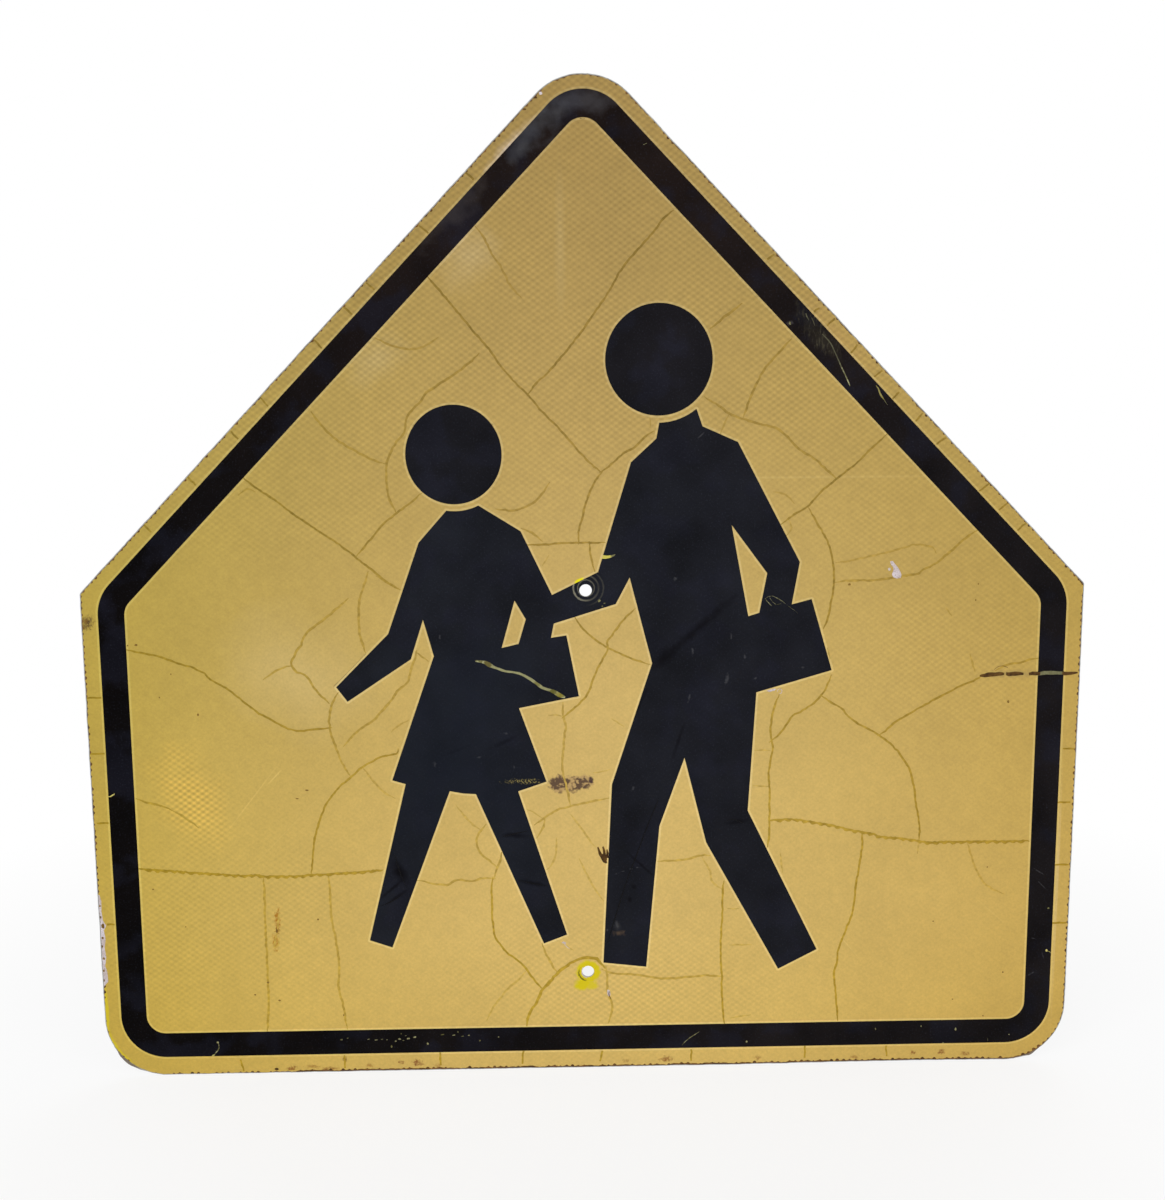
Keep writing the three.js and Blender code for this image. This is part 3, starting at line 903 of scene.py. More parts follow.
def thin_layer(front_cut, back_cut, front, back, finish_of, rise=None):
    """Corners, faces and finish numbers of a layer cut to the triangles that finish_of gives a number."""
    corners = []
    number = {}

    def corner(spot, y):
        key = (round(spot.x, 3), round(spot.y, 3), y == front)
        if key not in number:
            number[key] = len(corners)
            lift = rise.get(key[:2], 0) if rise and y == front else 0
            corners.append((spot.x, y - lift, spot.y))
        return number[key]

    faces = []
    finishes = []
    rims = {}
    for (spots, cut, labels), y in ((front_cut, front), (back_cut, back)):
        for face, names in zip(cut, labels):
            finish = finish_of(names)
            if finish is None:
                continue
            ring = [corner(spots[i], y) for i in face]
            if len(set(ring)) < 3:
                continue
            faces.append(ring if y == front else ring[::-1])
            finishes.append(finish)
            for i, j in sides(face) if y == front else ():
                if rims.pop((j, i), None) is None:
                    rims[i, j] = finish
    spots = front_cut[0]
    for (i, j), finish in rims.items():
        wall = [corner(spots[j], front), corner(spots[i], front)]
        wall += [corner(spots[i], back), corner(spots[j], back)]
        if len(set(wall)) == 4:
            faces.append(wall)
            finishes.append(finish)
    return corners, faces, finishes


coarse_cut = labelled(sheeting_parts)

# The openings in the film, and the finish number of the dirt in each. The first that fits is the one.
DIRT_KINDS = {"dark": 1, "pit": 2, "rim": 3, "crack": 0, "fine": 4, "hair": 5}
OPENINGS = {"chip", *DIRT_KINDS}


def dirt_in(names):
    """Which dirt lies in an opening. A chip has none."""
    if "sheet" not in names or "hole" in names or ("chip" in names and not names & {"dark", "pit"}):
        return None
    return next((kind for name, kind in DIRT_KINDS.items() if name in names), None)


def honeycomb_light(spot):
    """From -1 on the seal lines to 1 in the middle of each cell."""
    at = axes(spot)
    across = reckon("COSINE", times(at["X"], 2 * math.pi / CELL_WIDTH))
    up = reckon("COSINE", times(at["Z"], 2 * math.pi / CELL_HEIGHT))
    return times(across, up)


def shaded(colour, shade):
    """The colour made darker or lighter by a number."""
    grey = put(shade.id_data, "CombineXYZ", {0: shade, 1: shade, 2: shade}).outputs[0]
    return tint(1.0, colour, grey, "MULTIPLY")


def sunned_yellow(spot):
    """The yellow that the sun has left: greener to the left and low down, browner towards the peak."""
    at = axes(spot)
    upward_share = spread(at["Z"], 60, 740)
    colour = tint(upward_share, linear(218, 186, 109), linear(155, 128, 70))
    left_side = tint(upward_share, linear(196, 166, 61), linear(147, 133, 51))
    right_side = tint(upward_share, linear(197, 162, 77), linear(150, 127, 50))
    outward = reckon("POWER", reckon("DIVIDE", reckon("ABSOLUTE", at["X"]), HALF_WIDE), 1.6)
    to_side = tint(spread(at["X"], -250, 250), left_side, right_side)
    colour = tint(times(outward, 0.85), colour, to_side)
    colour = tint(spread(at["Z"], 130, 40), colour, (0.95, 0.945, 0.86, 1), "MULTIPLY")
    middle = patch(spot, (60, 320), (210, 200), 0, 0, 1, 0.9)
    return tint(middle, colour, (1.06, 1.07, 1.12, 1), "MULTIPLY")


def crack_dirt(name, pale, deep, hue_low, hue_high):
    """Thin dirt at the bottom of a crack: a darker shade of the film beside it, more olive low down."""
    finish, spot = new_finish(name)
    shade = spread(grain(spot, 5, 5.0), 0.35, 0.65, pale, deep)
    shade = times(shade, spread(honeycomb_light(spot), -1, 1, 0.86, 1.12))
    colour = shaded(sunned_yellow(spot), shade)
    upward_share = spread(axes(spot)["Z"], 120, 500)
    hue = tint(upward_share, hue_low, hue_high)
    colour = tint(1.0, colour, hue, "MULTIPLY")
    return painted(finish, colour, 0.85, grain(spot, 0.4, 3.0), 0.6, gloss=0.2)


def settled_dirt_and_shade(name, pale, deep):
    """Dry road dirt: matt, crumbly, and paler where rain has thinned it. The same matt crust also carries
    painted shade: near-black in the cracks through the black, and along the foot's trimmed edge.
    """
    finish, spot = new_finish(name)
    colour = tint(spread(grain(spot, 5, 5.0), 0.35, 0.65), pale, deep)
    return painted(finish, colour, 0.85, grain(spot, 0.4, 3.0), 0.6, gloss=0.2)


corners, faces, finishes = thin_layer(coarse_cut, coarse_cut, BASE_FACE - DIRT_DEPTH, BASE_FACE, dirt_in)
dirt = new_piece("settled_dirt_and_shade", corners, faces, [
    crack_dirt("olive_dirt", 0.74, 0.52, (1.1, 1.05, 0.42, 1), (1.08, 1.04, 0.76, 1)),
    settled_dirt_and_shade("black_dirt", linear(104, 74, 34), linear(56, 37, 21)),
    settled_dirt_and_shade("brown_dirt", linear(140, 108, 50), linear(100, 74, 34)),
    settled_dirt_and_shade("rim_dirt_and_shade", linear(120, 84, 44), linear(70, 46, 26)),
    crack_dirt("fine_dirt", 0.88, 0.64, (1.06, 1.03, 0.7, 1), (1.06, 1.03, 0.8, 1)),
    crack_dirt("hair_dirt", 0.93, 0.77, (1.04, 1.02, 0.82, 1), (1.04, 1.02, 0.88, 1)),
], None, None)
dirt.data.polygons.foreach_set("material_index", finishes)

# The face film
# Clear yellow film, sealed to the base sheet along a honeycomb of fine lines, so that each cell is a low
# pillow of air. The sun has faded it except where a washer or the black legend covered it.
FILM_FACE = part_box("sheeting_face")[0].y / MM
PILLOW_RISE = 0.06
CLEAR_OF_EDGES = 0.45
CUT_STEP = 0.8
SHARP_ANGLE = 30


def inside(points, ring):
    """Which of the points lie inside a ring."""
    hit = np.zeros(len(points), bool)
    x, z = points[:, 0], points[:, 1]
    for a, b in sides(ring):
        if a.y != b.y:
            crosses = (a.y > z) != (b.y > z)
            hit ^= crosses & (x < (b.x - a.x) * (z - a.y) / (b.y - a.y) + a.x)
    return hit


def honeycomb():
    """The middles and the corners of the cells, as arrays of x and height."""
    half_wide = CELL_WIDTH / 2
    half_high = CELL_HEIGHT / 2
    side_corner = (half_wide ** 2 - half_high ** 2) / (2 * half_wide)
    reach_corner = half_wide - side_corner
    columns = math.ceil(cad_box[1].x / MM / half_wide) + 1
    rows = math.ceil((cad_box[1].z - cad_box[0].z) / MM / CELL_HEIGHT) + 1
    middles = []
    knots = []
    for column in range(-columns, columns + 1):
        x = column * half_wide
        for row in range(rows):
            z = (row + (column % 2) / 2) * CELL_HEIGHT
            middles.append((x, z))
            knots += [(x + reach_corner, z), (x - reach_corner, z)]
    return np.array(middles), np.array(knots)


def clear_points(points, cut_edges):
    """The points on open film, clear of every cut edge and of the black legend."""
    keep = inside(points, sheeting_edge)
    for node, rings in black_rings.items():
        covered = inside(points, rings[0])
        for ring in yellow_gaps[node]:
            covered &= ~inside(points, ring)
        keep &= ~covered
    return [Vector(p) for p, ok in zip(points.tolist(), keep)
            if ok and cut_edges.find((*p, 0))[2] > CLEAR_OF_EDGES]


edge_points = [p for _, ring in sheeting_parts for p in in_steps(ring, CUT_STEP)]
cut_edges = KDTree(len(edge_points))
for i, p in enumerate(edge_points):
    cut_edges.insert((p.x, p.y, 0), i)
cut_edges.balance()
middles, knots = (clear_points(points, cut_edges) for points in honeycomb())
film_cut = labelled(sheeting_parts, middles + knots)
pillow_tops = {(round(p.x, 3), round(p.y, 3)): PILLOW_RISE for p in middles}


def film_over(names):
    """Which film is at a spot: 0 faded, 1 fresh under the black, 2 beside it, 3 painted shade in its cracks.
    """
    if "sheet" not in names or "hole" in names or names & OPENINGS:
        return None
    if any(node in names and "gap in " + node not in names for node in black_rings):
        return 3 if "black crack" in names else 1
    return 2 if "beside" in names else 0


FRESH_YELLOW = linear(214, 195, 0)

# Rusty and brown stains on the film: where, half their size, colour and strength
STAINS = [
    ((-376, 365), (5.5, 6), linear(74, 46, 18), 0.95),
    ((-236, 4), (5, 2.5), linear(128, 68, 10), 0.8),
    ((-219, 5), (7, 1.8), linear(140, 88, 16), 0.6),
    ((-194, 11), (1.6, 3.5), linear(120, 70, 12), 0.8),
    ((-205, 3), (8, 1.8), linear(132, 72, 12), 0.7),
    ((-174, 5), (3, 2), linear(140, 84, 16), 0.6),
    ((-149, 7), (2.8, 2.2), linear(128, 60, 8), 0.85),
    ((-136, 6.5), (4.8, 3.2), linear(122, 54, 8), 0.9),
    ((-120, 4), (3, 2), linear(140, 80, 16), 0.6),
    ((62, 6), (6, 2.8), linear(128, 66, 10), 0.85),
    ((30, 5), (3, 2), linear(132, 72, 14), 0.6),
    ((135, 6), (4, 2), linear(136, 78, 14), 0.6),
    ((213, 5), (4, 2), linear(136, 78, 14), 0.6),
    ((260, 8), (2.4, 2), linear(122, 62, 10), 0.8),
    ((283, 8), (3.4, 2.6), linear(122, 60, 10), 0.85),
    ((302, 6), (4, 2), linear(122, 62, 10), 0.7),
    ((-242.4, 128), (2.6, 10), linear(166, 110, 8), 1.0),
    ((-242.6, 119), (2.2, 5), linear(148, 98, 10), 0.9),
    ((-244.8, 109), (3.0, 8), linear(174, 122, 16), 1.0),
]

# Places where the honeycomb shows more: middle, half width and height, and by how much
CLEARER_CELLS = [
    ((-290, 120), (140, 110), 0.062),
    ((30, 68), (160, 76), 0.078),
    ((275, 360), (130, 130), 0.06),
    ((-200, 450), (120, 60), 0.03),
]

# Haze and long faint streaks on the film, and two painted highlights: middle, half width and height, lean,
# strength and shade
HAZE_AND_HIGHLIGHTS = [
    ((-84, 633), (30, 22), 30, 0.32, (196, 176, 134)),
    ((-153, 560), (30, 20), 40, 0.25, (190, 172, 128)),
    # Painted highlight: a pale band along the film's margin by the peak
    ((-50, 711), (34, 8), 46, 0.55, (204, 184, 160)),
    ((-17, 645), (5, 60), 0, 0.12, (206, 190, 146)),
    ((-215, 322), (70, 56), -28, 0.4, (208, 184, 126)),
    ((-150, 618), (130, 7), 46, 0.3, (146, 120, 58)),
    ((186, 578), (60, 9), -46, 0.25, (164, 126, 78)),
    ((155, 470), (170, 1.2), 0, 0.2, (214, 188, 122)),
    ((-258, 226), (42, 0.8), 52, 0.4, (228, 198, 112)),
    ((-240, 243), (10, 0.8), 46, 0.5, (232, 206, 120)),
    ((-236, 196), (60, 0.6), 46, 0.2, (224, 196, 112)),
    ((205, 100), (16, 0.7), -50, 0.5, (228, 198, 116)),
    ((318, 126), (24, 0.8), -42, 0.3, (216, 186, 104)),
    # Painted highlight: a pale line beside the right border
    ((370.4, 140), (1.3, 130), 0, 0.4, (222, 196, 142)),
]

# How the film looks where a scratch in the black bares it, in the same order
SCUFFS = [
    ((15, 411.4), (6, 4), 0, 1.0, (200, 188, 84)),
    ((21.5, 412.4), (3, 2), 0, 0.9, (110, 108, 70)),
    ((-50, 318), (42, 20), 0, 0.85, (146, 144, 102)),
    ((14, 376), (9, 5), 0, 0.6, (104, 100, 56)),
    ((-366, 230), (5, 4), 0, 0.9, (206, 192, 104)),
    ((-298, 14.6), (2.6, 3), 0, 0.9, (196, 190, 110)),
    ((365, 91.6), (4, 3), 0, 0.8, (206, 190, 104)),
    ((-25.4, 307.4), (3.6, 3), 0, 0.9, (84, 80, 8)),
    ((-20.4, 304.6), (4, 3), 0, 0.8, (128, 116, 12)),
    ((-37.6, 313.6), (3, 3), 0, 0.7, (104, 98, 30)),
    ((-75, 329.6), (3.6, 3.4), 0, 0.85, (84, 74, 16)),
    ((-176, 28), (46, 8), 0, 0.4, (96, 90, 62)),
    ((176, 570), (30, 38), 0, 0.95, (72, 70, 50)),
    ((221, 532), (6, 8), 0, 0.8, (140, 128, 60)),
]


def satin(finish, spot, colour):
    """The film's satin gloss over its pillows and a fine peel."""
    rough = spread(grain(spot, 22, 4.0), 0.3, 0.7, 0.38, 0.5)
    height = plus(times(honeycomb_light(spot), 0.35), times(grain(spot, 1.6, 3.0), 0.35))
    return painted(finish, colour, rough, height, 0.22, gloss=0.3)


def yellow_film(name, beside=0.0):
    """Sun-faded film whose cells show more or less from place to place, with a painted glint low on the left
    and two painted highlights. Beside the black it faded less.
    """
    finish, spot = new_finish(name)
    colour = sunned_yellow(spot)
    clouds = spread(grain(spot, 85, 4.0), 0.3, 0.7, 0.955, 1.045)
    mottle = spread(grain(spot, 7, 5.0), 0.3, 0.7, 0.965, 1.035)
    speck = spread(grain(spot, 1.5, 3.0), 0.3, 0.7, 0.945, 1.055)
    cells = honeycomb_light(spot)
    # glow is a painted glint: low on the left the cells are painted brighter, as where light glints off the
    # sheeting
    glow = patch(spot, (-306, 228), (34, 50), 22, 0.3, 24, 0.9)
    depth = spread(axes(spot)["Z"], 400, 560, 0.018, 0.15)
    for centre, half, more in CLEARER_CELLS:
        depth = plus(depth, times(patch(spot, centre, half, 0, 0.15, 50, 0.8), more))
    depth = times(depth, spread(grain(spot, 60, 2.0), 0.35, 0.65, 0.7, 1.2))
    depth = plus(depth, times(glow, 0.24))
    lit = plus(1.0, times(cells, depth))
    shade = times(times(clouds, mottle), times(speck, lit))
    # Painted glint: brighter yellow over the cells low on the left
    colour = tint(times(glow, 0.3), colour, linear(232, 188, 80))
    for faint_mark in HAZE_AND_HIGHLIGHTS:
        height = faint_mark[1][1]
        colour = marked(colour, spot, [faint_mark], 0.25 if height > 4 else 0.04, max(height, 2.5), 0.9)
    colour = shaded(colour, shade)
    strokes = spread(grain(spot, 1.5, 3.0), 0.34, 0.56, 0.25, 1.0)
    for centre, half, over, amount in STAINS:
        mask = times(patch(spot, centre, half, 0, 0.6, 2.2, 0.6), strokes)
        colour = tint(times(mask, amount), colour, over)
    smear = patch(spot, (-21, 234.2), (9, 7.6), 0, 0.25, 3, 0.3)
    for centre, half in (((-11, 234.6), (10, 7.4)), ((-2, 235.8), (8.4, 6.2))):
        smear = larger(smear, patch(spot, centre, half, 0, 0.25, 3, 0.3))
    colour = tint(times(smear, 0.5), colour, linear(156, 122, 92))
    hatch = plus(grain(spot, 3.6, 1.5, (1.1, 1, 0.9)), times(cells, 0.04))
    smear = times(smear, spread(hatch, 0.45, 0.56))
    colour = tint(times(smear, 0.92), colour, linear(76, 54, 40))
    smear_end = [((3.2, 237.2), (2.5, 2.7), -14, 0.9, (56, 34, 36))]
    colour = marked(colour, spot, smear_end, 0.3, 2, 0.5)
    beside_gouge = [((328, GOUGE_LINE), (25, 4.2), 0, 0.5, (140, 118, 78))]
    colour = marked(colour, spot, beside_gouge, 0.4, 4, 0.9)
    kept_fresh = patch(spot, (0.2, LOWER_HOLE), (10.6, 10.4), 0, 0.1, 3.5, 0.2)
    for centre, half, lean, amount in (
        ((-4.2, 70.6), (8.4, 6.4), 24, 1.0),
        ((2.4, 69.8), (6.6, 4.6), 0, 0.85),
        ((-379.2, 53), (2.2, 24), 0, 0.75),
        ((-5, 393), (4.8, 2.2), 27, 1.0),
    ):
        spill = patch(spot, centre, half, lean, 0.2, 3, 0.45)
        kept_fresh = larger(kept_fresh, times(spill, amount))
    at_corner = band(spot, (-333.4, 47.6), 46.2, 1.8, 0.5)
    at_corner = times(at_corner, patch(spot, (-372, 20), (18, 30), 0, 0.2, 6, 0.6))
    kept_fresh = larger(kept_fresh, times(at_corner, 0.7))
    colour = tint(kept_fresh, colour, FRESH_YELLOW)
    pressed = band(spot, (-0.5, LOWER_HOLE - 0.5), 6.9, 0.8, 0.4)
    pressed = times(pressed, patch(spot, (-5, 77), (5, 8), 0, 0, 1, 0.4))
    colour = tint(times(pressed, 0.85), colour, linear(98, 88, 0))
    if beside:
        colour = tint(beside, colour, (1.24, 1.34, 1.7, 1), "MULTIPLY")
    return satin(finish, spot, colour)


def covered_film():
    """Film that the black covered, and that a scratch has bared: fresh, scuffed or stained."""
    finish, spot = new_finish("covered_film")
    colour = tint(spread(grain(spot, 1.6, 4.0), 0.4, 0.58), linear(172, 170, 126), linear(92, 88, 40))
    colour = marked(colour, spot, SCUFFS, 0.2, 2, 0.4)
    crossed = [((357.5, GOUGE_LINE + 0.3), (12, 4), 0, 0.85, (104, 102, 70))]
    return satin(finish, spot, marked(colour, spot, crossed, 0.2, 3, 0.3))


corners, faces, finishes = thin_layer(film_cut, coarse_cut, FILM_FACE, BASE_FACE, film_over, pillow_tops)
film = new_piece("face_film", corners, faces, [
    yellow_film("faded_film"),
    covered_film(),
    yellow_film("film_beside_black", beside=0.85),
    # Near-black painted shade in the cracks through the black
    settled_dirt_and_shade("shade_in_black_cracks", linear(13, 12, 13), linear(7, 6, 8)),
], "yellow_face_film", "sheeting_face")
film.data.polygons.foreach_set("material_index", finishes)


def smooth_shade(piece, seams=()):
    """Smooth shading that keeps the cut edges sharp, and also the edges between two seam points."""
    mesh = piece.data
    mesh.polygons.foreach_set("use_smooth", [True] * len(mesh.polygons))
    mesh.set_sharp_from_angle(angle=math.radians(SHARP_ANGLE))
    if not seams:
        return
    spots = [(round(v.co.x / MM, 3), round(v.co.z / MM - FOOT, 3)) for v in mesh.vertices]
    on_seam = np.array([spot in seams for spot in spots])
    ends = np.zeros(len(mesh.edges) * 2, int)
    mesh.edges.foreach_get("vertices", ends)
    sharp = np.zeros(len(mesh.edges), bool)
    mesh.attributes["sharp_edge"].data.foreach_get("value", sharp)
    sharp |= on_seam[ends.reshape(-1, 2)].all(1)
    mesh.attributes["sharp_edge"].data.foreach_set("value", sharp)


smooth_shade(film, {(round(p.x, 3), round(p.y, 3)) for p in knots})
smooth_shade(blank)

# The black legend
# Black film cut to the border and the two figures and stuck on the yellow. Scratches go through it and
# show the yellow beneath, which never faded, and its face has a dusty bloom where water stood. The shade
# in its creases and cracks is painted, and so is the sheen that makes it paler towards the peak.
LEGEND_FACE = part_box("border_band")[0].y / MM

scratch_rings = [
    # Gouge across the child's bag
    gouge([(-84.4, 332.2, 1.2), (-81, 331.8, 1.8), (-77.9, 331.2, 2.4), (-74.1, 329, 3.2),
           (-70.8, 327.3, 2.1), (-66.9, 325.7, 1.7), (-61.4, 323.8, 1.8), (-55.8, 323.1, 1.6),
           (-49.2, 321.3, 1.8), (-42.6, 317.4, 2.0), (-38.2, 314.1, 2.1), (-33.8, 310.8, 2.5),
           (-28.3, 308.6, 2.0), (-23.8, 306.9, 3.4), (-21, 304.8, 3.8), (-18.3, 303.6, 2.4),
           (-16.3, 302.8, 1.2)], 51),
    # Nick in the adult's sleeve
    [Vector(p) for p in ((12, 409.8), (15, 409.6), (19, 410.4), (21.6, 411.6), (22.8, 412.8), (22.2, 413.1),
                         (20, 412.4), (16.4, 412.1), (12, 412.6))],
    # Right gouge where it crosses the border
    gouge([(348, GOUGE_LINE, 2.6), (355, GOUGE_LINE + 0.6, 2.8), (361, GOUGE_LINE + 0.5, 2.6),
           (369, GOUGE_LINE, 2.2)], 55),
    # Foot of the border
    channel([(-293.5, 27), (-292.6, 22), (-295, 18.5), (-298.3, 13.5)], 0.9, 56),
    channel([(-299.5, 13), (-297, 16.5)], 1.9, 57),
    blot((-293.5, 26.6), (1.0, 1.0), 58, 8, 0.2),
    channel([(74.5, 17.5), (77, 20.4), (81, 24), (88, 28.6)], 0.7, 67),
    blot((126.2, 19.6), (1.0, 1.2), 68, 7, 0.3),
    blot((293.8, 27), (0.9, 1.5), 69, 7, 0.3, 12),
    channel([(320, 16), (320, 19)], 0.5, 70),
    # Right and left sides of the border
    blot((364.2, 92.2), (1.2, 1.3), 71, 8, 0.3),
    channel([(365, 92), (367, 91), (368.4, 89.4)], 0.7, 72),
    blot((364.2, 127.4), (1.0, 0.9), 73, 7, 0.3),
    channel([(-368.5, 228.8), (-366.4, 229.2), (-364.6, 230.4), (-363, 231.4)], 1.7, 74),
    # Roof and peak of the border
    gouge([(176.4, 576, 0.4), (180, 572.6, 0.7), (183, 569, 0.9), (185.6, 564, 0.7), (188.4, 558, 0.8),
           (192.6, 549, 0.9), (197, 540, 0.8), (198, 537.6, 0.5)], 92),
    gouge([(164, 591, 0.6), (165, 588.6, 0.7), (166.6, 586, 0.4)], 93),
    gouge([(168.4, 588, 0.4), (170, 584.6, 0.5), (170.8, 582, 0.3)], 95),
    channel([(217.4, 538), (219.4, 535.6), (221, 531), (223.6, 527.4)], 1.5, 76),
    channel([(220, 534), (223.4, 528), (226.4, 523.4)], 0.5, 89),
    blot((152.4, 584), (0.9, 1.6), 77, 8, 0.4, 20),
    channel([(44, 712), (46.5, 713)], 0.9, 79),
    # Scuff by the upper bolt
    blot((10.4, 377.6), (1.7, 1.1), 84, 9, 0.45, 30),
    blot((14.2, 375.6), (0.9, 0.5), 80, 7, 0.4),
    blot((12.6, 373.4), (0.8, 0.6), 47, 7, 0.4),
    # Rub by the adult's wrist
    channel([(136.4, 377.8), (139, 379.4), (142, 380)], 0.45, 85),
    channel([(142, 380), (146, 378), (150, 375.6), (152.4, 373.6)], 0.45, 82),
    channel([(136.6, 378), (139, 374.8), (141.6, 372)], 0.6, 86),
    channel([(140, 378.6), (142, 375.6), (145, 373)], 0.4, 83),
    channel([(144, 373), (147, 373.4), (149, 374)], 0.4, 87),
    channel([(153, 373), (157, 370), (162, 366.4)], 0.3, 81, 0.0, 0.2),
]

# Small flecks rubbed out of the foot of the border
FOOT_FLECKS = [
    ((-196, 27.2), (1.6, 0.7)), ((-191, 28.4), (0.8, 0.5)), ((-174.4, 27.2), (1.5, 0.4)),
    ((-168.6, 26.5), (1.6, 0.4)), ((-164, 27), (1.3, 0.4)), ((-156.4, 20.8), (0.8, 1.5)),
    ((-153, 25.2), (1.0, 0.7)), ((-150, 26.8), (1.6, 0.9)), ((-147, 25.6), (0.9, 0.5)),
    ((-143, 27.2), (1.7, 0.8)), ((-138, 28.2), (1.5, 1.0)), ((-148.6, 31.4), (0.5, 0.7)),
    ((-160, 26.4), (0.9, 0.4)), ((-145, 29.6), (1.0, 0.4)), ((-127.8, 22.6), (1.0, 1.1)),
    ((-116, 30), (1.7, 0.5)), ((-107, 29.4), (1.5, 0.5)), ((-103.6, 32), (0.7, 0.7)),
    ((-100, 28.4), (1.2, 0.4)), ((-95, 29), (1.1, 0.5)), ((-86.4, 24.4), (0.8, 0.9)),
    ((-71.4, 27.2), (0.8, 0.7)), ((229.4, 28.6), (0.5, 1.2)), ((266, 30), (0.5, 1.0)),
    ((284, 15.6), (0.6, 0.5)), ((337, 21.8), (0.5, 0.5)),
]
scratch_rings += [blot(centre, half, 600 + i, 7, 0.4, 10) for i, (centre, half) in enumerate(FOOT_FLECKS)]

legend_parts = [(node, rings[0]) for node, rings in black_rings.items()]
legend_parts += [("gap in " + node, ring) for node, rings in black_rings.items() for ring in rings[1:]]
legend_parts += [("scratch", ring) for ring in scratch_rings + black_crack_rings]
legend_cut = labelled(legend_parts)

# Pale flecks on the black: middle, half width and height, lean
FLECKS = [
    ((79, 301), (1.0, 4.5), -12), ((81.5, 338), (1.0, 3.2), 4), ((-62, 275), (2.0, 0.9), 0),
    ((-117, 251), (1.1, 2.6), 8), ((-83, 256.5), (2.2, 1.0), 14), ((-56, 248), (1.0, 1.6), 0),
    ((-111, 351), (0.9, 1.8), 0), ((36, 230), (1.1, 2.0), -20), ((111, 349), (0.8, 3.0), 0),
    ((166, 324), (1.4, 0.9), 0), ((121.5, 333), (0.9, 1.8), 10), ((108, 316), (1.6, 4.6), -14),
    ((23, 119), (1.5, 3.4), 12), ((15.5, 115), (1.2, 1.2), 0), ((34, 165), (1.3, 0.8), 0),
    ((27.5, 163), (1.6, 0.5), 8), ((39, 166), (1.4, 0.5), 10), ((22.5, 161), (0.9, 0.5), 0),
    ((-36, 301), (1.0, 0.8), 0), ((68, 394), (1.6, 1.6), 0), ((130, 316), (1.2, 0.8), 20),
    ((355.6, 157.7), (6, 0.5), -33), ((358.4, 146.5), (6, 0.5), -45), ((353.4, 102.5), (2, 0.5), -16),
    ((353.2, 73.3), (4.5, 0.5), 31), ((361.6, 87.8), (3.5, 0.5), -70), ((87, 502), (4, 0.6), 42),
]

# Painted shade in the creases of the black film and along its cracks: middle, half length and width, lean,
# strength
CREASE_SHADES = [
    ((84, 354), (44, 4.5), 41, 0.75), ((60, 333), (14, 7), 41, 0.7), ((36, 285), (36, 1.4), 66, 0.6),
    ((71, 268), (19, 1.8), 72, 0.6), ((-42.5, 154.5), (13, 3.2), -13, 1.0),
    ((-56, 193.5), (13, 2.8), -4, 1.0), ((-146, 165), (14, 6), -60, 1.0), ((-152, 152), (17, 1.8), 40, 0.8),
    ((-149, 145), (14, 1.6), 34, 0.7), ((-64, 268), (16, 2.2), 25, 0.6), ((-100, 262), (14, 1.8), 20, 0.5),
    ((41.5, 168.5), (20, 1.6), -43, 0.7), ((117, 202), (13, 2.4), 12, 0.6),
    ((36, 150), (3.2, 2.6), -50, 0.7), ((33, 140), (2, 3), 0, 0.8),
]

# Marks of the washers round the upper bolt: radius, half width, strength, share at the left and the right
WASHER_MIDDLE = (0.3, 387.4)
WASHER_MARKS = [(9.6, 0.8, 0.65, 1.0, 0.1), (6.3, 0.6, 0.5, 0.8, 0.4), (13.2, 0.7, 0.1, -0.8, 1.0)]

# Bloom, dust and dull spots on the black, and painted sheen at the peak: middle, half width and height,
# lean, strength and shade
BLOOM_AND_SHEEN = [
    # Painted sheen at the peak, in this row and the next two
    ((-36, 722), (30, 14), 46, 0.24, (110, 112, 118)),
    ((-4, 742), (40, 11), 0, 0.18, (108, 108, 114)),
    ((-92, 668), (42, 12), 46, 0.12, (112, 104, 102)),
    ((-92, 240), (80, 120), 0, 0.5, (25, 31, 42)),
    ((24.5, 112.5), (6.0, 2.6), 0, 0.6, (92, 76, 60)),
    ((23, 118), (3.6, 4.4), 0, 0.22, (80, 80, 80)),
    ((152, 584), (3.2, 2.0), 0, 0.3, (112, 108, 110)),
    ((176, 574), (24, 8), -52, 0.1, (98, 92, 70)),
]


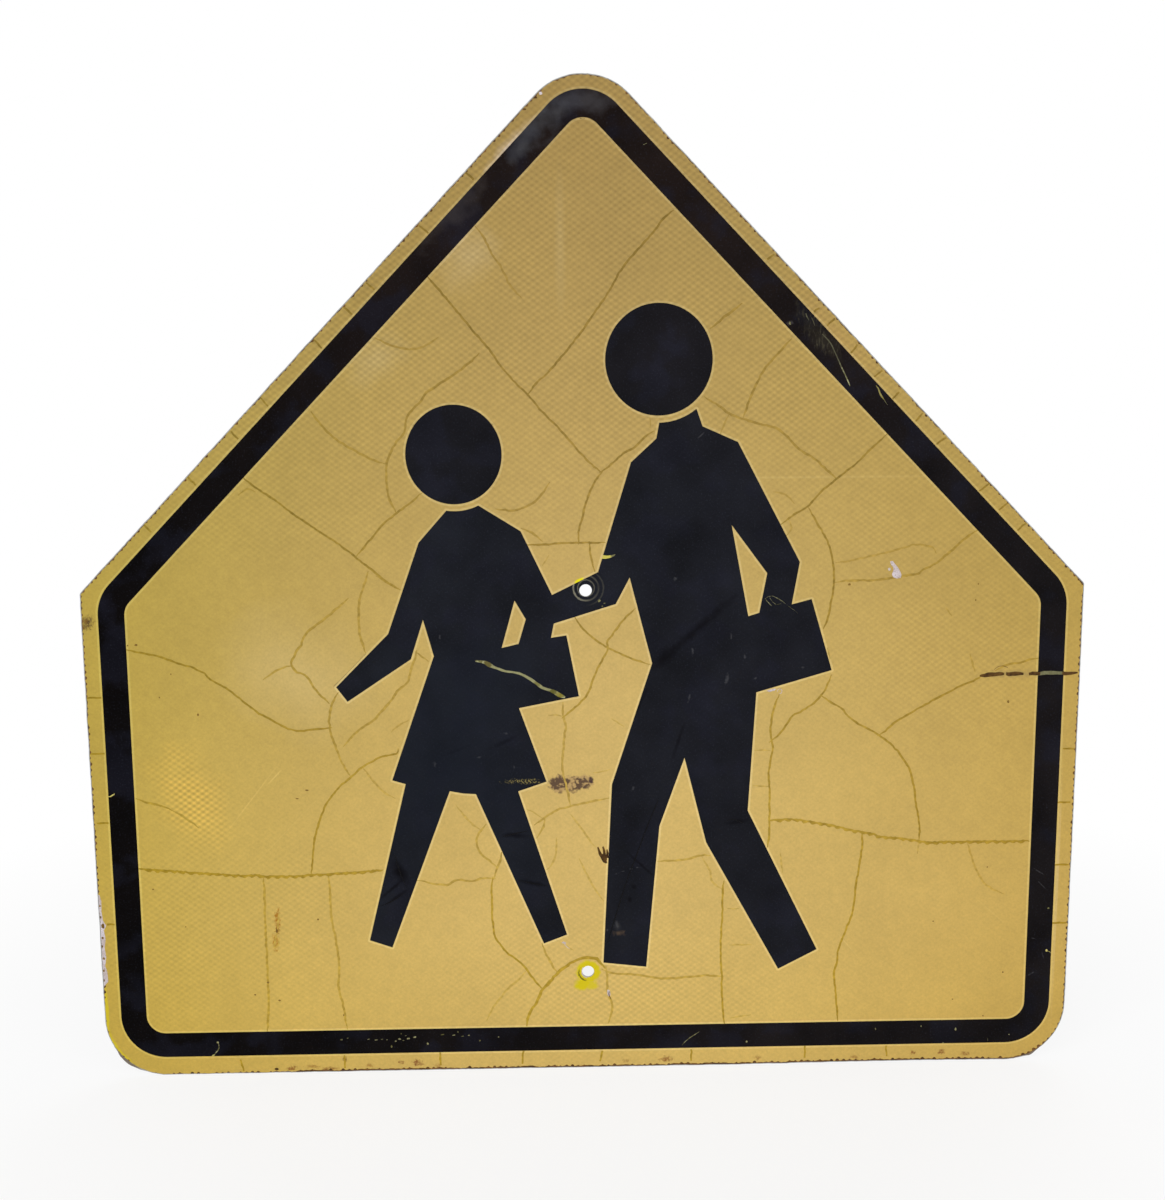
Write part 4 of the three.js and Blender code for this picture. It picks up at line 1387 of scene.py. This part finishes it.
def black_film(name, left, right, peak_sheen, gloss):
    """Satin blue-black film, with faint clouds, pale flecks and fine scratches, painted shade in its creases
    and painted sheen towards the peak.
    """
    finish, spot = new_finish(name)
    at = axes(spot)
    colour = tint(spread(at["X"], -HALF_WIDE, 150), left, right)
    # Painted sheen: the black is paler towards the peak
    colour = tint(spread(at["Z"], 460, 700), colour, peak_sheen)
    bluish = spread(grain(spot, 34, 3.0), 0.5, 0.6, 0.0, 0.45)
    colour = tint(bluish, colour, linear(24, 25, 36))
    clouds = spread(grain(spot, 45, 5.0), 0.3, 0.7, 0.6, 1.4)
    cells = times(honeycomb_light(spot), 0.05)
    colour = shaded(colour, plus(clouds, cells))
    dust = spread(grain(spot, 1.3, 5.0), 0.56, 0.74)
    colour = tint(times(dust, 0.25), colour, linear(58, 60, 72))
    # Painted shade in the creases of the black film and along its cracks
    colour = marked(colour, spot, [(*crease_shade, (5, 4, 8)) for crease_shade in CREASE_SHADES], 0.25, 5, 0.8)
    colour = marked(colour, spot, [(*fleck, 0.3, (92, 92, 96)) for fleck in FLECKS], 0.5, 1.5, 0.7)
    for radius, half_width, strength, at_left, at_right in WASHER_MARKS:
        mark = band(spot, WASHER_MIDDLE, radius, half_width, 0.25, 3.0)
        worn = spread(grain(spot, 6, 3.0), 0.3, 0.5, 0.45, 1.0)
        worn = times(worn, spread(at["X"], -9, 11, at_left, at_right), True)
        colour = tint(times(times(mark, worn), strength), colour, linear(150, 146, 126))
    for marking in BLOOM_AND_SHEEN:
        colour = marked(colour, spot, [marking], 0.5, max(3, marking[1][1]), 0.9)
    rubbed = patch(spot, (173, 577), (30, 9), -52, 0.3, 5, 0.6)
    strokes = spread(grain(spot, 1.6, 3.0, (0.8, 1, 3)), 0.52, 0.66)
    colour = tint(times(rubbed, strokes), colour, linear(60, 56, 45))
    hem = patch(spot, (-49, 236.8), (16, 2.6), 0, 0.4, 3, 0.5)
    speckled = spread(grain(spot, 1.2, 3.0), 0.49, 0.58)
    colour = tint(times(hem, speckled), colour, linear(134, 122, 72))
    rough = spread(grain(spot, 30, 4.0), 0.3, 0.7, 0.36, 0.5)
    height = plus(times(cells, 4.0), grain(spot, 1.6, 3.0))
    return painted(finish, colour, rough, height, 0.16, gloss=gloss)


def legend_piece(name, node, finish):
    """One piece of the legend, cut out of the black film with the scratches through it."""
    def black_at(names):
        return 0 if node in names and not names & {"gap in " + node, "scratch"} else None

    corners, faces, _ = thin_layer(legend_cut, legend_cut, LEGEND_FACE, FILM_FACE, black_at)
    new_piece(name, corners, faces, [finish], "black_legend_film", node)


border_black = black_film("border_black", linear(6, 4, 4), linear(22, 19, 20), linear(26, 19, 17), 0.03)
figure_black = black_film("figure_black", linear(23, 26, 33), linear(21, 22, 28), linear(24, 21, 24), 0.06)
head_black = black_film("head_black", linear(18, 19, 25), linear(18, 18, 22), linear(19, 16, 19), 0.06)
legend_piece("black_border", "border_band", border_black)
legend_piece("black_figures", "walking_pair", figure_black)
legend_piece("black_adult_head", "adult_head", head_black)
legend_piece("black_child_head", "child_head", head_black)
